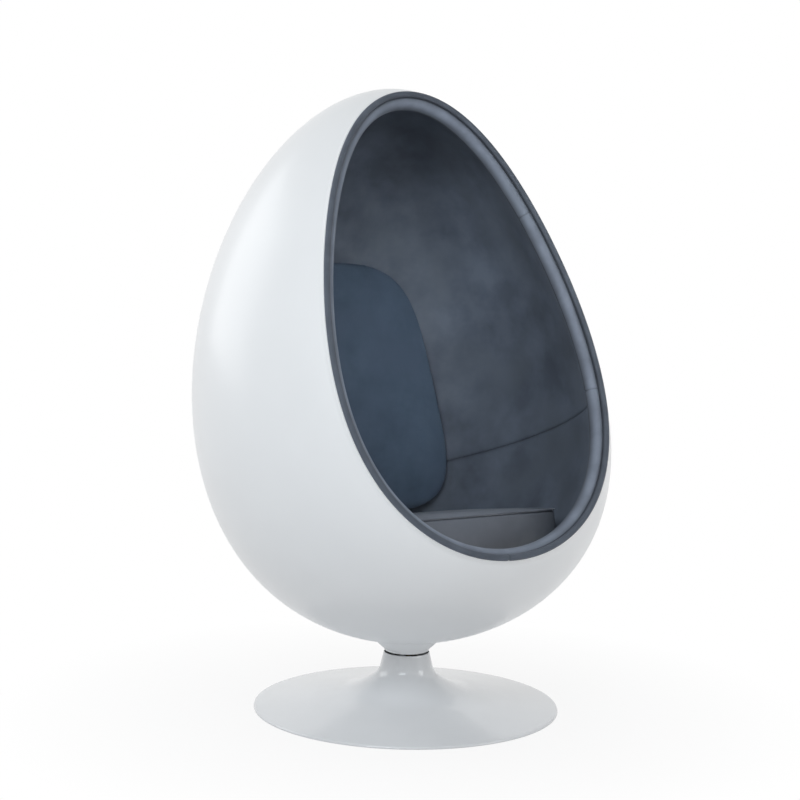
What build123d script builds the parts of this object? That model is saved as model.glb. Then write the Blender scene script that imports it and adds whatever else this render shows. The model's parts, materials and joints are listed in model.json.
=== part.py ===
from build123d import *
from math import asin, copysign, cos, degrees, hypot, pi, radians, sin, sqrt, tan
import os

# A pod chair: an egg-shaped moulded shell with an upholstered hollow, swivelling on a round trumpet base.
# The origin is on the floor under the swivel's axis. The mouth faces -Y, +Z is up, sizes are in millimetres.

# ---------------------------------------------------------------- driving dimensions

# Pod form: a stack of level circles, named by a level from -1 at the bottom pole to 1 at the top pole
pod_radius = 422.0            # radius of the middle circle
pod_half_height = 570.0       # from the middle circle to either pole
pod_mid_back = 61.0           # of the middle circle's centre behind the swivel's axis
pod_taper = -0.216            # the circles shrink towards the top and swell towards the bottom
pod_fullness = 0.020          # and are a little larger towards both poles
pod_taper_end = 0.026
pod_lean = 0.200              # the centre line leans back as it rises
pod_lean_bend = -0.015
pod_lean_hook = -0.125
pod_steps = 16                # circles in each loft, counting one pole

# Mouth: a flat cut through the pod, which leans back
mouth_lean = 24.5             # degrees from upright
mouth_rise = 109.0            # of the mouth's middle above the pod's middle circle
mouth_reach = 173.0           # of the mouth's middle in front of the swivel's axis
ring_steps = 16               # sections in each half of a ring around the mouth
rim_halvings = 40             # of the span searched for a point of the rim

# Shell and upholstery, as thicknesses inwards from the pod form
shell_wall = 6.0
lining_thickness = 24.5
soft_gap = 0.3                # between a soft or curved face and what it lies on
tack_strip_thickness = 6.5
tack_strip_drop = 4.0         # from the mouth back to its front

# Rolls of the rim, whose sections are circles measured square to the mouth's plane
welt_radius = 6.2
welt_inset = 0.4              # from the pod's rim to its outer side
welt_rise = 2.0               # of its middle out of the mouth
bolster_radius = 18.5
bolster_inset = 10.9          # from the pod's rim to its middle
bolster_drop = 20.3           # of its middle behind the mouth
bolster_depth = 26.0          # from the mouth back to its flat rear
bolster_front_drop = 1.9      # from the mouth back to its front beside the shell
bolster_turns = (68.0, 45.0, 10.0)  # degrees out of the mouth of the points that its curve runs through

# Lining
seam_drop = 130.0             # of the lining's seam below the pod's middle circle, at the swivel's axis
seam_slope = 21.8             # degrees that the seam falls towards the back

# Seat
seat_tilt = 9.0               # degrees that the seat falls towards the back
seat_filler_depth = 106.2     # of the foam under the deck, at the swivel's axis
seat_edge_reach = 182.0       # of the seat's top front edge in front of the swivel's axis
seat_thickness = 104.0
seat_front_width = 530.0
seat_side_flare = 20.0        # degrees that the sides spread towards the back
seat_corner_radius = 50.0
seat_edge_pull = 42.0         # how far the top and bottom draw in from the waist
seat_edge_steps = 4           # sections from the waist to the top
seat_deck_thickness = 15.0
seat_deck_rim = 3.0           # between the deck's edge and the lining

# Back cushion
back_lean = 12.0              # degrees from upright
back_foot_rise = 5.5          # of its waist's foot above the seat
back_height = 566.0
back_waist_reach = 250.0      # of its waist behind the swivel's axis, at the foot
back_foot_width = 588.0
back_head_width = 424.0
back_foot_radius = 95.0
back_head_radius = 140.0
back_front_crown = 36.0       # how far the face stands in front of the waist
back_edge_pull = 165.0        # how far a full crown would draw in from the waist
back_face_turn = 72.0         # degrees of the crown's curve before its flat middle
back_face_steps = 5
back_rear_depth = 110.0       # behind the waist, trimmed by the lining

# Trumpet base
base_radius = 317.0
base_wall = 3.0
rim_roll_inner_radius = 1.0   # of the rim's bend, on the inner side of the wall
rim_stand = 1.0               # from the rim's foot up to its bend
rim_floor_gap = 0.8           # from the floor up to the rim's foot
floor_pad_thickness = 2.0     # it lies inside the rim
neck_top_radius = 47.8
neck_rise = 27.9              # of its straight part
neck_slope = 76.9             # degrees from level
flare_radius = 40.0
flare_turn = 35.0             # degrees from level where the small flare meets the large one
sweep_radius = 200.0
dish_slope = 9.0              # degrees from level
ballast_radius = 230.0
ballast_thickness = 10.0

# Swivel
spindle_radius = 14.0
running_gap = 0.05            # around the spindle in its bushes
bush_wall = 4.0
bush_length = 25.0
bush_flange_thickness = 3.0
tube_wall = 6.0
tube_top_drop = 9.9           # below the neck's top
lower_bush_rise = 17.0        # of the lower bush above the ballast
carrier_thickness = 4.0
carrier_rise = 3.0            # above the foot of the neck's straight part
carrier_gap = 0.3
race_gap = 1.0                # around the spindle
race_thickness = 2.0
race_width = 10.0
ball_radius = 2.5
ball_count = 12
ball_gap = 0.02
cage_thickness = 2.0
cage_width = 8.0
cage_hole_gap = 0.1
clip_thickness = 1.8
clip_width = 4.0
clip_groove_depth = 1.5
clip_opening = 60.0           # degrees left open in the clip
spindle_tail = 6.0            # below the clip
retaining_washer_thickness = 2.0

# Mounting under the shell
plate_thickness = 6.0
plate_margin = 6.5            # from the collar's foot to the plate's edge
collar_floor = 16.9           # of the collar between the plate and the shell
collar_foot_radius = 47.5
collar_slope = 50.0           # degrees from level
collar_foot_round = 5.5
collar_top_radius = 71.0
bolt_radius = 4.0
bolt_hole_gap = 0.3
bolt_circle_radius = 34.0
bolt_count = 4
bolt_start_angle = 45.0
bolt_head_radius = 6.5
bolt_head_height = 4.5
bolt_head_round = 1.5
bolt_tail = 2.0               # past the nut
nut_across_flats = 13.0
nut_height = 6.5
bolt_washer_radius = 8.4
bolt_washer_thickness = 1.6
mounting_pad_radius = 90.0
mounting_pad_thickness = 21.0
pad_pocket_gap = 2.0          # between the pad and the lining around it
nut_pocket_height = 16.0      # over the pad, inside the seat's foam

os.makedirs("parts", exist_ok=True)


def export(piece, name):
    """Label a finished piece and write its STEP file."""
    piece.part.label = name
    export_step(piece.part, f"parts/{name}.step")


def at_each_bolt(radius, mode=Mode.ADD):
    """Draw a circle at each of the mounting bolts' places."""
    with PolarLocations(bolt_circle_radius, bolt_count, start_angle=bolt_start_angle):
        Circle(radius, mode=mode)


# ---------------------------------------------------------------- heights, from the floor upwards

# Trumpet base: the roll of the rim, the shallow dish, the two arcs and the straight neck meet smoothly
rim_roll_radius = rim_roll_inner_radius + base_wall
dish_edge_radius = base_radius - rim_roll_radius * (1 - sin(radians(dish_slope)))
dish_edge_height = rim_floor_gap + rim_stand + rim_roll_radius * cos(radians(dish_slope))
sweep_spread = sweep_radius * (sin(radians(flare_turn)) - sin(radians(dish_slope)))
sweep_drop = sweep_radius * (cos(radians(dish_slope)) - cos(radians(flare_turn)))
flare_spread = flare_radius * (sin(radians(neck_slope)) - sin(radians(flare_turn)))
flare_drop = flare_radius * (cos(radians(flare_turn)) - cos(radians(neck_slope)))
neck_foot_radius = neck_top_radius + neck_rise / tan(radians(neck_slope))
dish_run = dish_edge_radius - sweep_spread - flare_spread - neck_foot_radius
neck_foot_height = dish_edge_height + dish_run * tan(radians(dish_slope)) + sweep_drop + flare_drop
neck_top_height = neck_foot_height + neck_rise

# Swivel: the tube carries the flange, the lower race, the balls and the upper race, which carries the plate
tube_top_height = neck_top_height - tube_top_drop
race_top = tube_top_height + bush_flange_thickness + race_thickness
ball_height = race_top + ball_gap + ball_radius
upper_race_height = ball_height + ball_radius + ball_gap
plate_height = upper_race_height + race_thickness

# Pod: it stands on the collar, and its inside fixes the pad's height and the seat's
pod_bottom_height = plate_height + plate_thickness + collar_floor
pod_mid_height = pod_bottom_height + pod_half_height
strip_outer = shell_wall + soft_gap
strip_inner = strip_outer + tack_strip_thickness
lining_inner = strip_outer + lining_thickness
seat_space = lining_inner + soft_gap
pad_bottom = pod_bottom_height + strip_outer
pad_top = pad_bottom + mounting_pad_thickness
seat_slope = radians(seat_tilt)
seat_stack = soft_gap + seat_deck_thickness + soft_gap + seat_thickness
seat_axis_height = pod_bottom_height + lining_inner + seat_filler_depth + seat_stack / cos(seat_slope)
seat_edge_height = seat_axis_height + seat_edge_reach * tan(seat_slope)
back_foot_height = seat_axis_height - back_waist_reach * tan(seat_slope) + back_foot_rise

# ---------------------------------------------------------------- pod form

def pod_circle_radius(level, inset):
    """Radius of the level circle of the form that lies the inset inside the pod."""
    swell = 1 + pod_taper * level + pod_fullness * level**2 + pod_taper_end * level**3
    return (pod_radius - inset) * sqrt(max(0.0, 1 - level**2)) * swell


def pod_circle_centre(level, inset):
    """Centre of the level circle, on the leaning centre line."""
    bend = pod_lean * level + pod_lean_bend * level**2 + pod_lean_hook * level**3
    height = pod_mid_height + (pod_half_height - inset) * level
    return Vector(0, pod_mid_back + (pod_half_height - inset) * bend, height)


def pod_form(inset, mode=Mode.ADD):
    """Loft the whole closed egg from pole to pole, set in from the pod's outside."""
    circles = []
    for step in range(1, pod_steps):
        level = -cos(pi * step / pod_steps)
        centre = pod_circle_centre(level, inset)
        with BuildSketch(Plane(centre), mode=Mode.PRIVATE) as circle:
            Circle(pod_circle_radius(level, inset))
        circles.append(circle.sketch)
    bottom_pole = Vertex(*pod_circle_centre(-1, inset))
    top_pole = Vertex(*pod_circle_centre(1, inset))
    loft([bottom_pole, *circles, top_pole], mode=mode)


# The mouth's plane: local x runs across, local y up the mouth and local z out of it
mouth = Plane(
    origin=(0, -mouth_reach, pod_mid_height + mouth_rise),
    x_dir=(1, 0, 0),
    z_dir=(0, -cos(radians(mouth_lean)), sin(radians(mouth_lean))),
)


def mouth_ray(angle):
    """Plane through the mouth's axis: local x runs outwards at this angle, local y out of the mouth."""
    outwards = mouth.x_dir * cos(radians(angle)) + mouth.y_dir * sin(radians(angle))
    return Plane(origin=mouth.origin, x_dir=outwards, z_dir=outwards.cross(mouth.z_dir))


def rim_point(angle, inset, forward):
    """Point of the pod form, set in by the inset, on a mouth ray's plane and this far out of the mouth."""
    ray = mouth_ray(angle)
    near, far = 0.0, 2 * pod_half_height
    for halving in range(rim_halvings):
        reach = (near + far) / 2
        point = ray.from_local_coords((reach, forward, 0))
        level = (point.Z - pod_mid_height) / (pod_half_height - inset)
        if abs(level) < 1:
            centre = pod_circle_centre(level, inset)
            within = hypot(point.X, point.Y - centre.Y) < pod_circle_radius(level, inset)
        else:
            within = False
        near, far = (reach, far) if within else (near, reach)
    return (near, forward)


def roll_point(angle, inwards, forward):
    """Point on a mouth ray's plane, this far inwards of the pod's rim and out of the mouth."""
    return (rim_point(angle, 0, 0)[0] - inwards, forward)


def rim_half_ring(section_edges):
    """Loft the right half of a ring around the mouth, from its lowest point to its highest."""
    sections = []
    for step in range(ring_steps + 1):
        angle = -90 + 180 * step / ring_steps
        with BuildSketch(mouth_ray(angle), mode=Mode.PRIVATE) as section:
            with BuildLine():
                section_edges(angle)
            make_face()
        sections.append(section.sketch)
    loft(sections)


# ---------------------------------------------------------------- shell and rim

with BuildPart() as outer_shell:
    pod_form(0)
    pod_form(shell_wall, mode=Mode.SUBTRACT)
    split(bisect_by=mouth, keep=Keep.BOTTOM)
    with BuildSketch(Plane.XY):
        at_each_bolt(bolt_radius + bolt_hole_gap)
    extrude(amount=pod_mid_height, mode=Mode.SUBTRACT)
export(outer_shell, "outer_shell")


def tack_strip_edges(angle):
    """Four-sided section just inside the shell, square to the mouth."""
    drops = (tack_strip_drop, (tack_strip_drop + bolster_depth) / 2, bolster_depth)
    outer = [rim_point(angle, strip_outer, -drop) for drop in drops]
    inner = [rim_point(angle, strip_inner, -drop) for drop in reversed(drops)]
    ThreePointArc(*outer)
    Line(outer[2], inner[0])
    ThreePointArc(*inner)
    Line(inner[2], outer[0])


with BuildPart() as rim_tack_strip:
    rim_half_ring(tack_strip_edges)
    mirror(about=Plane.YZ)
export(rim_tack_strip, "rim_tack_strip")


def welt_edges(angle):
    """Round section, flat where it lies over the shell's cut edge."""
    middle = welt_inset + welt_radius
    half_flat = sqrt(welt_radius**2 - (welt_rise - soft_gap) ** 2)
    outer = roll_point(angle, middle - half_flat, soft_gap)
    crown = roll_point(angle, middle, welt_rise + welt_radius)
    inner = roll_point(angle, middle + half_flat, soft_gap)
    ThreePointArc(outer, crown, inner)
    Line(inner, outer)


with BuildPart() as rim_welt:
    rim_half_ring(welt_edges)
    mirror(about=Plane.YZ)
export(rim_welt, "rim_welt")

bolster_outer = strip_inner + soft_gap
bolster_step_drop = tack_strip_drop - soft_gap
bolster_heel_turn = degrees(asin((bolster_drop - bolster_depth) / bolster_radius))


def bolster_point(angle, turn):
    """Point of the roll's round side, this many degrees out of the mouth from straight inwards."""
    inwards = bolster_inset + bolster_radius * cos(radians(turn))
    return roll_point(angle, inwards, bolster_radius * sin(radians(turn)) - bolster_drop)


def bolster_edges(angle):
    """Section of a soft roll: flat at the back, hooked over the wooden ring, round at the front and inside."""
    drops = (bolster_depth, (bolster_depth + bolster_step_drop) / 2, bolster_step_drop)
    outer = [rim_point(angle, bolster_outer, -drop) for drop in drops]
    step = rim_point(angle, strip_outer, -bolster_step_drop)
    front = rim_point(angle, strip_outer, -bolster_front_drop)
    crown, shoulder, waist = [bolster_point(angle, turn) for turn in bolster_turns]
    heel = bolster_point(angle, bolster_heel_turn)
    ThreePointArc(*outer)
    Line(outer[2], step)
    Line(step, front)
    ThreePointArc(front, crown, shoulder)
    ThreePointArc(shoulder, waist, heel)
    Line(heel, outer[0])


with BuildPart() as rim_bolster:
    rim_half_ring(bolster_edges)
    mirror(about=Plane.YZ)
export(rim_bolster, "rim_bolster")

# ---------------------------------------------------------------- lining

pad_pocket_radius = mounting_pad_radius + pad_pocket_gap
behind_bolster = mouth.offset(-bolster_depth - soft_gap)
seam = Plane(
    origin=(0, 0, pod_mid_height - seam_drop),
    x_dir=(1, 0, 0),
    z_dir=(0, sin(radians(seam_slope)), cos(radians(seam_slope))),
)


def lining_form():
    """Foam and cover inside the shell, behind the bolster."""
    pod_form(strip_outer)
    pod_form(lining_inner, mode=Mode.SUBTRACT)
    split(bisect_by=behind_bolster, keep=Keep.BOTTOM)


with BuildPart() as upper_lining:
    lining_form()
    split(bisect_by=seam.offset(soft_gap / 2), keep=Keep.TOP)
export(upper_lining, "upper_lining")

with BuildPart() as lower_lining:
    lining_form()
    split(bisect_by=seam.offset(-soft_gap / 2), keep=Keep.BOTTOM)
    with BuildSketch(Plane.XY):
        Circle(pad_pocket_radius)
    extrude(amount=pad_top + nut_pocket_height, mode=Mode.SUBTRACT)
export(lower_lining, "lower_lining")

# ---------------------------------------------------------------- seat and cushions

seat_top = Plane(
    origin=(0, -seat_edge_reach, seat_edge_height),
    x_dir=(1, 0, 0),
    z_dir=(0, sin(seat_slope), cos(seat_slope)),
)
deck_top = seat_top.offset(-seat_thickness - soft_gap)
deck_bottom = deck_top.offset(-seat_deck_thickness)

with BuildPart() as seat_filler:
    pod_form(seat_space)
    split(bisect_by=deck_bottom.offset(-soft_gap), keep=Keep.BOTTOM)
    split(bisect_by=behind_bolster, keep=Keep.BOTTOM)
    with BuildSketch(Plane.XY):
        Circle(pad_pocket_radius)
    extrude(amount=pad_top + nut_pocket_height, mode=Mode.SUBTRACT)
export(seat_filler, "seat_filler")

with BuildPart() as seat_deck:
    pod_form(seat_space + seat_deck_rim)
    split(bisect_by=deck_top, keep=Keep.BOTTOM)
    split(bisect_by=deck_bottom, keep=Keep.TOP)
    split(bisect_by=behind_bolster, keep=Keep.BOTTOM)
export(seat_deck, "seat_deck")


def seat_plan(inset):
    """Plan of the seat cushion: a straight front, rounded corners, flared sides and a full back."""
    half_front = seat_front_width / 2 - inset
    back = 2 * pod_radius
    half_back = half_front + (back - inset) * tan(radians(seat_side_flare))
    Polygon((-half_front, inset), (half_front, inset), (half_back, back), (-half_back, back), align=None)


with BuildPart() as seat_cushion:
    for step in range(-seat_edge_steps, seat_edge_steps + 1):
        turn = pi / 2 * abs(step) / seat_edge_steps
        rise = seat_thickness / 2 * copysign(sqrt(sin(turn)), step)
        pull = seat_edge_pull * (1 - sqrt(max(0.0, cos(turn))))
        with BuildSketch(seat_top.offset(rise - seat_thickness / 2)) as plan:
            seat_plan(pull)
            fillet(plan.vertices().group_by(Axis.Y)[0], seat_corner_radius - pull)
    loft()
    pod_form(seat_space, mode=Mode.INTERSECT)
export(seat_cushion, "seat_cushion")

back_slope = radians(back_lean)
back_waist = Plane(
    origin=(0, back_waist_reach, back_foot_height),
    x_dir=(1, 0, 0),
    z_dir=(0, -cos(back_slope), sin(back_slope)),
)


def back_face(inset):
    """Outline of the back cushion: wider at its foot, with large rounded corners."""
    half_foot = back_foot_width / 2 - inset
    half_head = back_head_width / 2 - inset
    head = back_height - inset
    Polygon((-half_foot, inset), (half_foot, inset), (half_head, head), (-half_head, head), align=None)


with BuildPart() as back_cushion:
    for step in range(back_face_steps + 1):
        turn = radians(back_face_turn) * step / back_face_steps
        pull = back_edge_pull * (1 - cos(turn))
        with BuildSketch(back_waist.offset(back_front_crown * sin(turn))) as face:
            back_face(pull)
            foot_corners, head_corners = face.vertices().group_by(Axis.Y)
            fillet(foot_corners, back_foot_radius - pull * back_foot_radius / back_edge_pull)
            fillet(head_corners, back_head_radius - pull * back_head_radius / back_edge_pull)
        if step == 0:
            extrude(amount=-back_rear_depth)
            add(face.sketch)
    loft()
    pod_form(seat_space, mode=Mode.INTERSECT)
export(back_cushion, "back_cushion")

# ---------------------------------------------------------------- mounting under the shell

plate_radius = collar_foot_radius - plate_margin
collar_rise = (collar_top_radius - collar_foot_radius) * tan(radians(collar_slope))

with BuildPart() as mounting_pad:
    with BuildSketch(Plane.XY):
        Circle(mounting_pad_radius)
    extrude(amount=pad_top)
    pod_form(strip_outer, mode=Mode.INTERSECT)
    with BuildSketch(Plane.XY):
        at_each_bolt(bolt_radius + bolt_hole_gap)
    extrude(amount=pad_top, mode=Mode.SUBTRACT)
export(mounting_pad, "mounting_pad")

with BuildPart() as swivel_collar:
    with BuildSketch(Plane.XZ):
        with BuildLine():
            Polyline(
                (0, plate_height),
                (collar_foot_radius, plate_height),
                (collar_top_radius, plate_height + collar_rise),
                (collar_top_radius, pad_bottom + collar_rise),
                (0, pad_bottom + collar_rise),
                close=True,
            )
        make_face()
    revolve(axis=Axis.Z)
    fillet(swivel_collar.edges().filter_by(GeomType.CIRCLE).sort_by(Axis.Z)[0], collar_foot_round)
    pod_form(-soft_gap, mode=Mode.SUBTRACT)
    with BuildSketch(Plane.XY.offset(plate_height)):
        Circle(plate_radius + soft_gap)
    extrude(amount=plate_thickness + soft_gap, mode=Mode.SUBTRACT)
    with BuildSketch(Plane.XY):
        at_each_bolt(bolt_radius + bolt_hole_gap)
    extrude(amount=pad_top, mode=Mode.SUBTRACT)
export(swivel_collar, "swivel_collar")

with BuildPart() as swivel_plate:
    with BuildSketch(Plane.XY.offset(plate_height)):
        Circle(plate_radius)
        Circle(spindle_radius + running_gap, mode=Mode.SUBTRACT)
        at_each_bolt(bolt_radius + bolt_hole_gap, mode=Mode.SUBTRACT)
    extrude(amount=plate_thickness)
export(swivel_plate, "swivel_plate")

washer_top = pad_top + bolt_washer_thickness

with BuildPart() as mounting_bolts:
    with BuildSketch(Plane.XY.offset(plate_height)):
        at_each_bolt(bolt_head_radius)
    extrude(amount=-bolt_head_height)
    fillet(mounting_bolts.edges().group_by(Axis.Z)[0], bolt_head_round)
    with BuildSketch(Plane.XY.offset(plate_height)):
        at_each_bolt(bolt_radius)
    extrude(amount=washer_top + nut_height + bolt_tail - plate_height)
export(mounting_bolts, "mounting_bolts")

with BuildPart() as bolt_washers:
    with BuildSketch(Plane.XY.offset(pad_top)):
        at_each_bolt(bolt_washer_radius)
        at_each_bolt(bolt_radius + bolt_hole_gap, mode=Mode.SUBTRACT)
    extrude(amount=bolt_washer_thickness)
export(bolt_washers, "bolt_washers")

with BuildPart() as bolt_nuts:
    with BuildSketch(Plane.XY.offset(washer_top)):
        with PolarLocations(bolt_circle_radius, bolt_count, start_angle=bolt_start_angle):
            RegularPolygon(nut_across_flats / 2, 6, major_radius=False)
        at_each_bolt(bolt_radius, mode=Mode.SUBTRACT)
    extrude(amount=nut_height)
export(bolt_nuts, "bolt_nuts")

# ---------------------------------------------------------------- swivel

ballast_top = floor_pad_thickness + ballast_thickness
tube_inner_radius = spindle_radius + running_gap + bush_wall
tube_outer_radius = tube_inner_radius + tube_wall
lower_bush_height = ballast_top + lower_bush_rise
clip_top = lower_bush_height - retaining_washer_thickness
clip_bottom = clip_top - clip_thickness
groove_radius = spindle_radius - clip_groove_depth

with BuildPart() as spindle:
    with BuildSketch(Plane.XY.offset(clip_bottom - spindle_tail)):
        Circle(spindle_radius)
    extrude(amount=plate_height + plate_thickness - clip_bottom + spindle_tail)
    chamfer(spindle.edges().group_by(Axis.Z)[0], clip_groove_depth)
    with BuildSketch(Plane.XY.offset(clip_bottom)):
        Circle(spindle_radius)
        Circle(groove_radius, mode=Mode.SUBTRACT)
    extrude(amount=clip_thickness, mode=Mode.SUBTRACT)
export(spindle, "spindle")

with BuildPart() as retaining_washer:
    with BuildSketch(Plane.XY.offset(clip_top)):
        Circle(tube_inner_radius - running_gap)
        Circle(spindle_radius + running_gap, mode=Mode.SUBTRACT)
    extrude(amount=retaining_washer_thickness - running_gap)
export(retaining_washer, "retaining_washer")

with BuildPart() as retaining_clip:
    with BuildSketch(Plane.XY.offset(clip_bottom)):
        Circle(groove_radius + clip_width)
        Circle(groove_radius, mode=Mode.SUBTRACT)
        with BuildLine():
            reach = 2 * spindle_radius
            side = reach * tan(radians(clip_opening / 2))
            Polyline((0, 0), (reach, -side), (reach, side), close=True)
        make_face(mode=Mode.SUBTRACT)
    extrude(amount=clip_thickness)
export(retaining_clip, "retaining_clip")

with BuildPart() as upper_bush:
    for outer_radius, length in ((tube_outer_radius, bush_flange_thickness), (tube_inner_radius, -bush_length)):
        with BuildSketch(Plane.XY.offset(tube_top_height)):
            Circle(outer_radius)
            Circle(spindle_radius + running_gap, mode=Mode.SUBTRACT)
        extrude(amount=length)
export(upper_bush, "upper_bush")

with BuildPart() as lower_bush:
    with BuildSketch(Plane.XY.offset(lower_bush_height)):
        Circle(tube_inner_radius)
        Circle(spindle_radius + running_gap, mode=Mode.SUBTRACT)
    extrude(amount=bush_length)
export(lower_bush, "lower_bush")

with BuildPart() as bearing_tube:
    with BuildSketch(Plane.XY.offset(ballast_top)):
        Circle(tube_outer_radius)
        Circle(tube_inner_radius, mode=Mode.SUBTRACT)
    extrude(amount=tube_top_height - ballast_top)
export(bearing_tube, "bearing_tube")

race_inner_radius = spindle_radius + race_gap
race_heights = {
    "thrust_race_lower": race_top - race_thickness,
    "thrust_race_upper": upper_race_height,
}

for race_name, height in race_heights.items():
    with BuildPart() as race:
        with BuildSketch(Plane.XY.offset(height)):
            Circle(race_inner_radius + race_width)
            Circle(race_inner_radius, mode=Mode.SUBTRACT)
        extrude(amount=race_thickness)
    export(race, race_name)

ball_circle_radius = race_inner_radius + race_width / 2

with BuildPart() as thrust_balls:
    with Locations((0, 0, ball_height)):
        with PolarLocations(ball_circle_radius, ball_count):
            Sphere(ball_radius)
export(thrust_balls, "thrust_balls")

with BuildPart() as thrust_cage:
    with BuildSketch(Plane.XY.offset(ball_height - cage_thickness / 2)):
        Circle(ball_circle_radius + cage_width / 2)
        Circle(ball_circle_radius - cage_width / 2, mode=Mode.SUBTRACT)
        with PolarLocations(ball_circle_radius, ball_count):
            Circle(ball_radius + cage_hole_gap, mode=Mode.SUBTRACT)
    extrude(amount=cage_thickness)
export(thrust_cage, "thrust_cage")

# ---------------------------------------------------------------- trumpet base


def neck_radius(height):
    """Outer radius of the straight part of the neck at this height."""
    return neck_top_radius + (neck_top_height - height) / tan(radians(neck_slope))


def base_profile():
    """Outer profile from the neck's top to the foot of the rim, as lines and arcs that meet smoothly."""
    neck_foot = (neck_foot_radius, neck_foot_height)
    neck = Line((neck_top_radius, neck_top_height), neck_foot)
    flare = JernArc(neck_foot, neck % 1, flare_radius, neck_slope - flare_turn)
    sweep_arc = JernArc(flare @ 1, flare % 1, sweep_radius, flare_turn - dish_slope)
    dish = Line(sweep_arc @ 1, (dish_edge_radius, dish_edge_height))
    roll = JernArc(dish @ 1, dish % 1, rim_roll_radius, dish_slope - 90)
    Line(roll @ 1, ((roll @ 1).X, rim_floor_gap))


# The wall is square to the slanted neck, so it is a little wider when measured level
neck_wall_across = base_wall / sin(radians(neck_slope))
carrier_height = neck_foot_height + carrier_rise

with BuildPart() as floor_pad:
    with BuildSketch(Plane.XY):
        Circle(base_radius - base_wall - soft_gap)
    extrude(amount=floor_pad_thickness)
export(floor_pad, "floor_pad")

with BuildPart() as ballast_plate:
    with BuildSketch(Plane.XY.offset(floor_pad_thickness)):
        Circle(ballast_radius)
        Circle(tube_inner_radius, mode=Mode.SUBTRACT)
    extrude(amount=ballast_thickness)
export(ballast_plate, "ballast_plate")

with BuildPart() as bearing_carrier:
    with BuildSketch(Plane.XY.offset(carrier_height)):
        Circle(neck_radius(carrier_height + carrier_thickness) - neck_wall_across - carrier_gap)
        Circle(tube_outer_radius, mode=Mode.SUBTRACT)
    extrude(amount=carrier_thickness)
export(bearing_carrier, "bearing_carrier")

with BuildPart() as base_dish:
    with BuildSketch(Plane.XZ):
        with BuildLine() as profile:
            base_profile()
            offset(amount=base_wall, side=Side.RIGHT)
        make_face()
    revolve(axis=Axis.Z)
export(base_dish, "base_dish")
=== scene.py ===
"""The looks of a swivelling pod chair: a white egg-shaped shell lined in slate suede on a round trumpet base.

Everything is in metres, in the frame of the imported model: the origin is on the floor on the swivel's axis,
the mouth of the egg faces -Y and +Z is up.
"""

import json
import logging
import math
from dataclasses import dataclass, field
from enum import Enum

import bpy
import numpy as np
from mathutils import Matrix, Vector
from numpy.polynomial.polynomial import polyval

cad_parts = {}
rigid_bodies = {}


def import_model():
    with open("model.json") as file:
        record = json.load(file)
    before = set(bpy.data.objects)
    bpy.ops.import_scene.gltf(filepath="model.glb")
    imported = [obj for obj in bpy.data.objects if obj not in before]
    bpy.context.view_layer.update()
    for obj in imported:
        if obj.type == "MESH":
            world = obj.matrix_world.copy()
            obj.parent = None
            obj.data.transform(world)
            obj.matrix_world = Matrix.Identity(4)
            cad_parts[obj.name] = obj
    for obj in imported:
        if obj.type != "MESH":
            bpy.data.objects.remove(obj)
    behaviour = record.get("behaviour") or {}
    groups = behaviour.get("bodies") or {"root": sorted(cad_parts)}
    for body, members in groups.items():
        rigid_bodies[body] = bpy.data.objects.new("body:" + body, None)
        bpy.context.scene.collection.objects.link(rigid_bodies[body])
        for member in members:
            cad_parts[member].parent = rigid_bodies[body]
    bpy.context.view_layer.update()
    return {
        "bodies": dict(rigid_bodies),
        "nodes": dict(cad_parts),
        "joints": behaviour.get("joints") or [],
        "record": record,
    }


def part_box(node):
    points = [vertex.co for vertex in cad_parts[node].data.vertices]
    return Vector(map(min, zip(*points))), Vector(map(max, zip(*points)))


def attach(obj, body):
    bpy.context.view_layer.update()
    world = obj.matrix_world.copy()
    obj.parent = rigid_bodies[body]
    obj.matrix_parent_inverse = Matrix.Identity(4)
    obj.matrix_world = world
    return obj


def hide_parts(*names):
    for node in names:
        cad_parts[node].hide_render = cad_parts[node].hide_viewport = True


LOG = logging.getLogger("pod_chair")
MM = 0.001
TINY = 1e-300                      # stands in for zero under a negative power
ACROSS = np.array([1.0, 0.0, 0.0])  # the level axis square to the chair's facing
WAVE_PERIOD = math.pi / 10.0       # of the wave texture at a scale of 1


# ---------------------------------------------------------------- numbers and directions

def unit(vectors: np.ndarray) -> np.ndarray:
    """Scale each vector of the last axis to a length of one."""
    return vectors / np.linalg.norm(vectors, axis=-1, keepdims=True)


def smooth_step(values: np.ndarray, low: float, high: float) -> np.ndarray:
    """Rise smoothly from 0 at low to 1 at high: three times the square less twice the cube of the share."""
    share = np.clip((values - low) / (high - low), 0.0, 1.0)
    return share * share * (3.0 - 2.0 * share)


def crowded_ends(count: int, crowding: float) -> np.ndarray:
    """Spread shares from 0 to 1, closer together at both ends: the share less a part of its own sine wave."""
    share = np.linspace(0.0, 1.0, count)
    return share - crowding * np.sin(2.0 * math.pi * share) / (2.0 * math.pi)


def full_turn(count: int) -> np.ndarray:
    """Evenly spaced angles once round, without the last one, which would repeat the first."""
    return np.linspace(0.0, 2.0 * math.pi, count, endpoint=False)


def spoke(turn: np.ndarray, first: np.ndarray, second: np.ndarray) -> np.ndarray:
    """Directions at angles from one axis towards another: the sum of a cosine of one and a sine of the other."""
    return np.cos(turn)[..., None] * first + np.sin(turn)[..., None] * second


def level_circle(radius: np.ndarray, turn: np.ndarray, height: np.ndarray) -> np.ndarray:
    """Points round the swivel's axis, by their radius, angle and height."""
    return np.stack(np.broadcast_arrays(radius * np.cos(turn), radius * np.sin(turn), height), axis=-1)


def bell(distance: np.ndarray, width: float) -> np.ndarray:
    """A bell curve: 1 at no distance, and one e-th at the width."""
    return np.exp(-((distance / width) ** 2))


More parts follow.
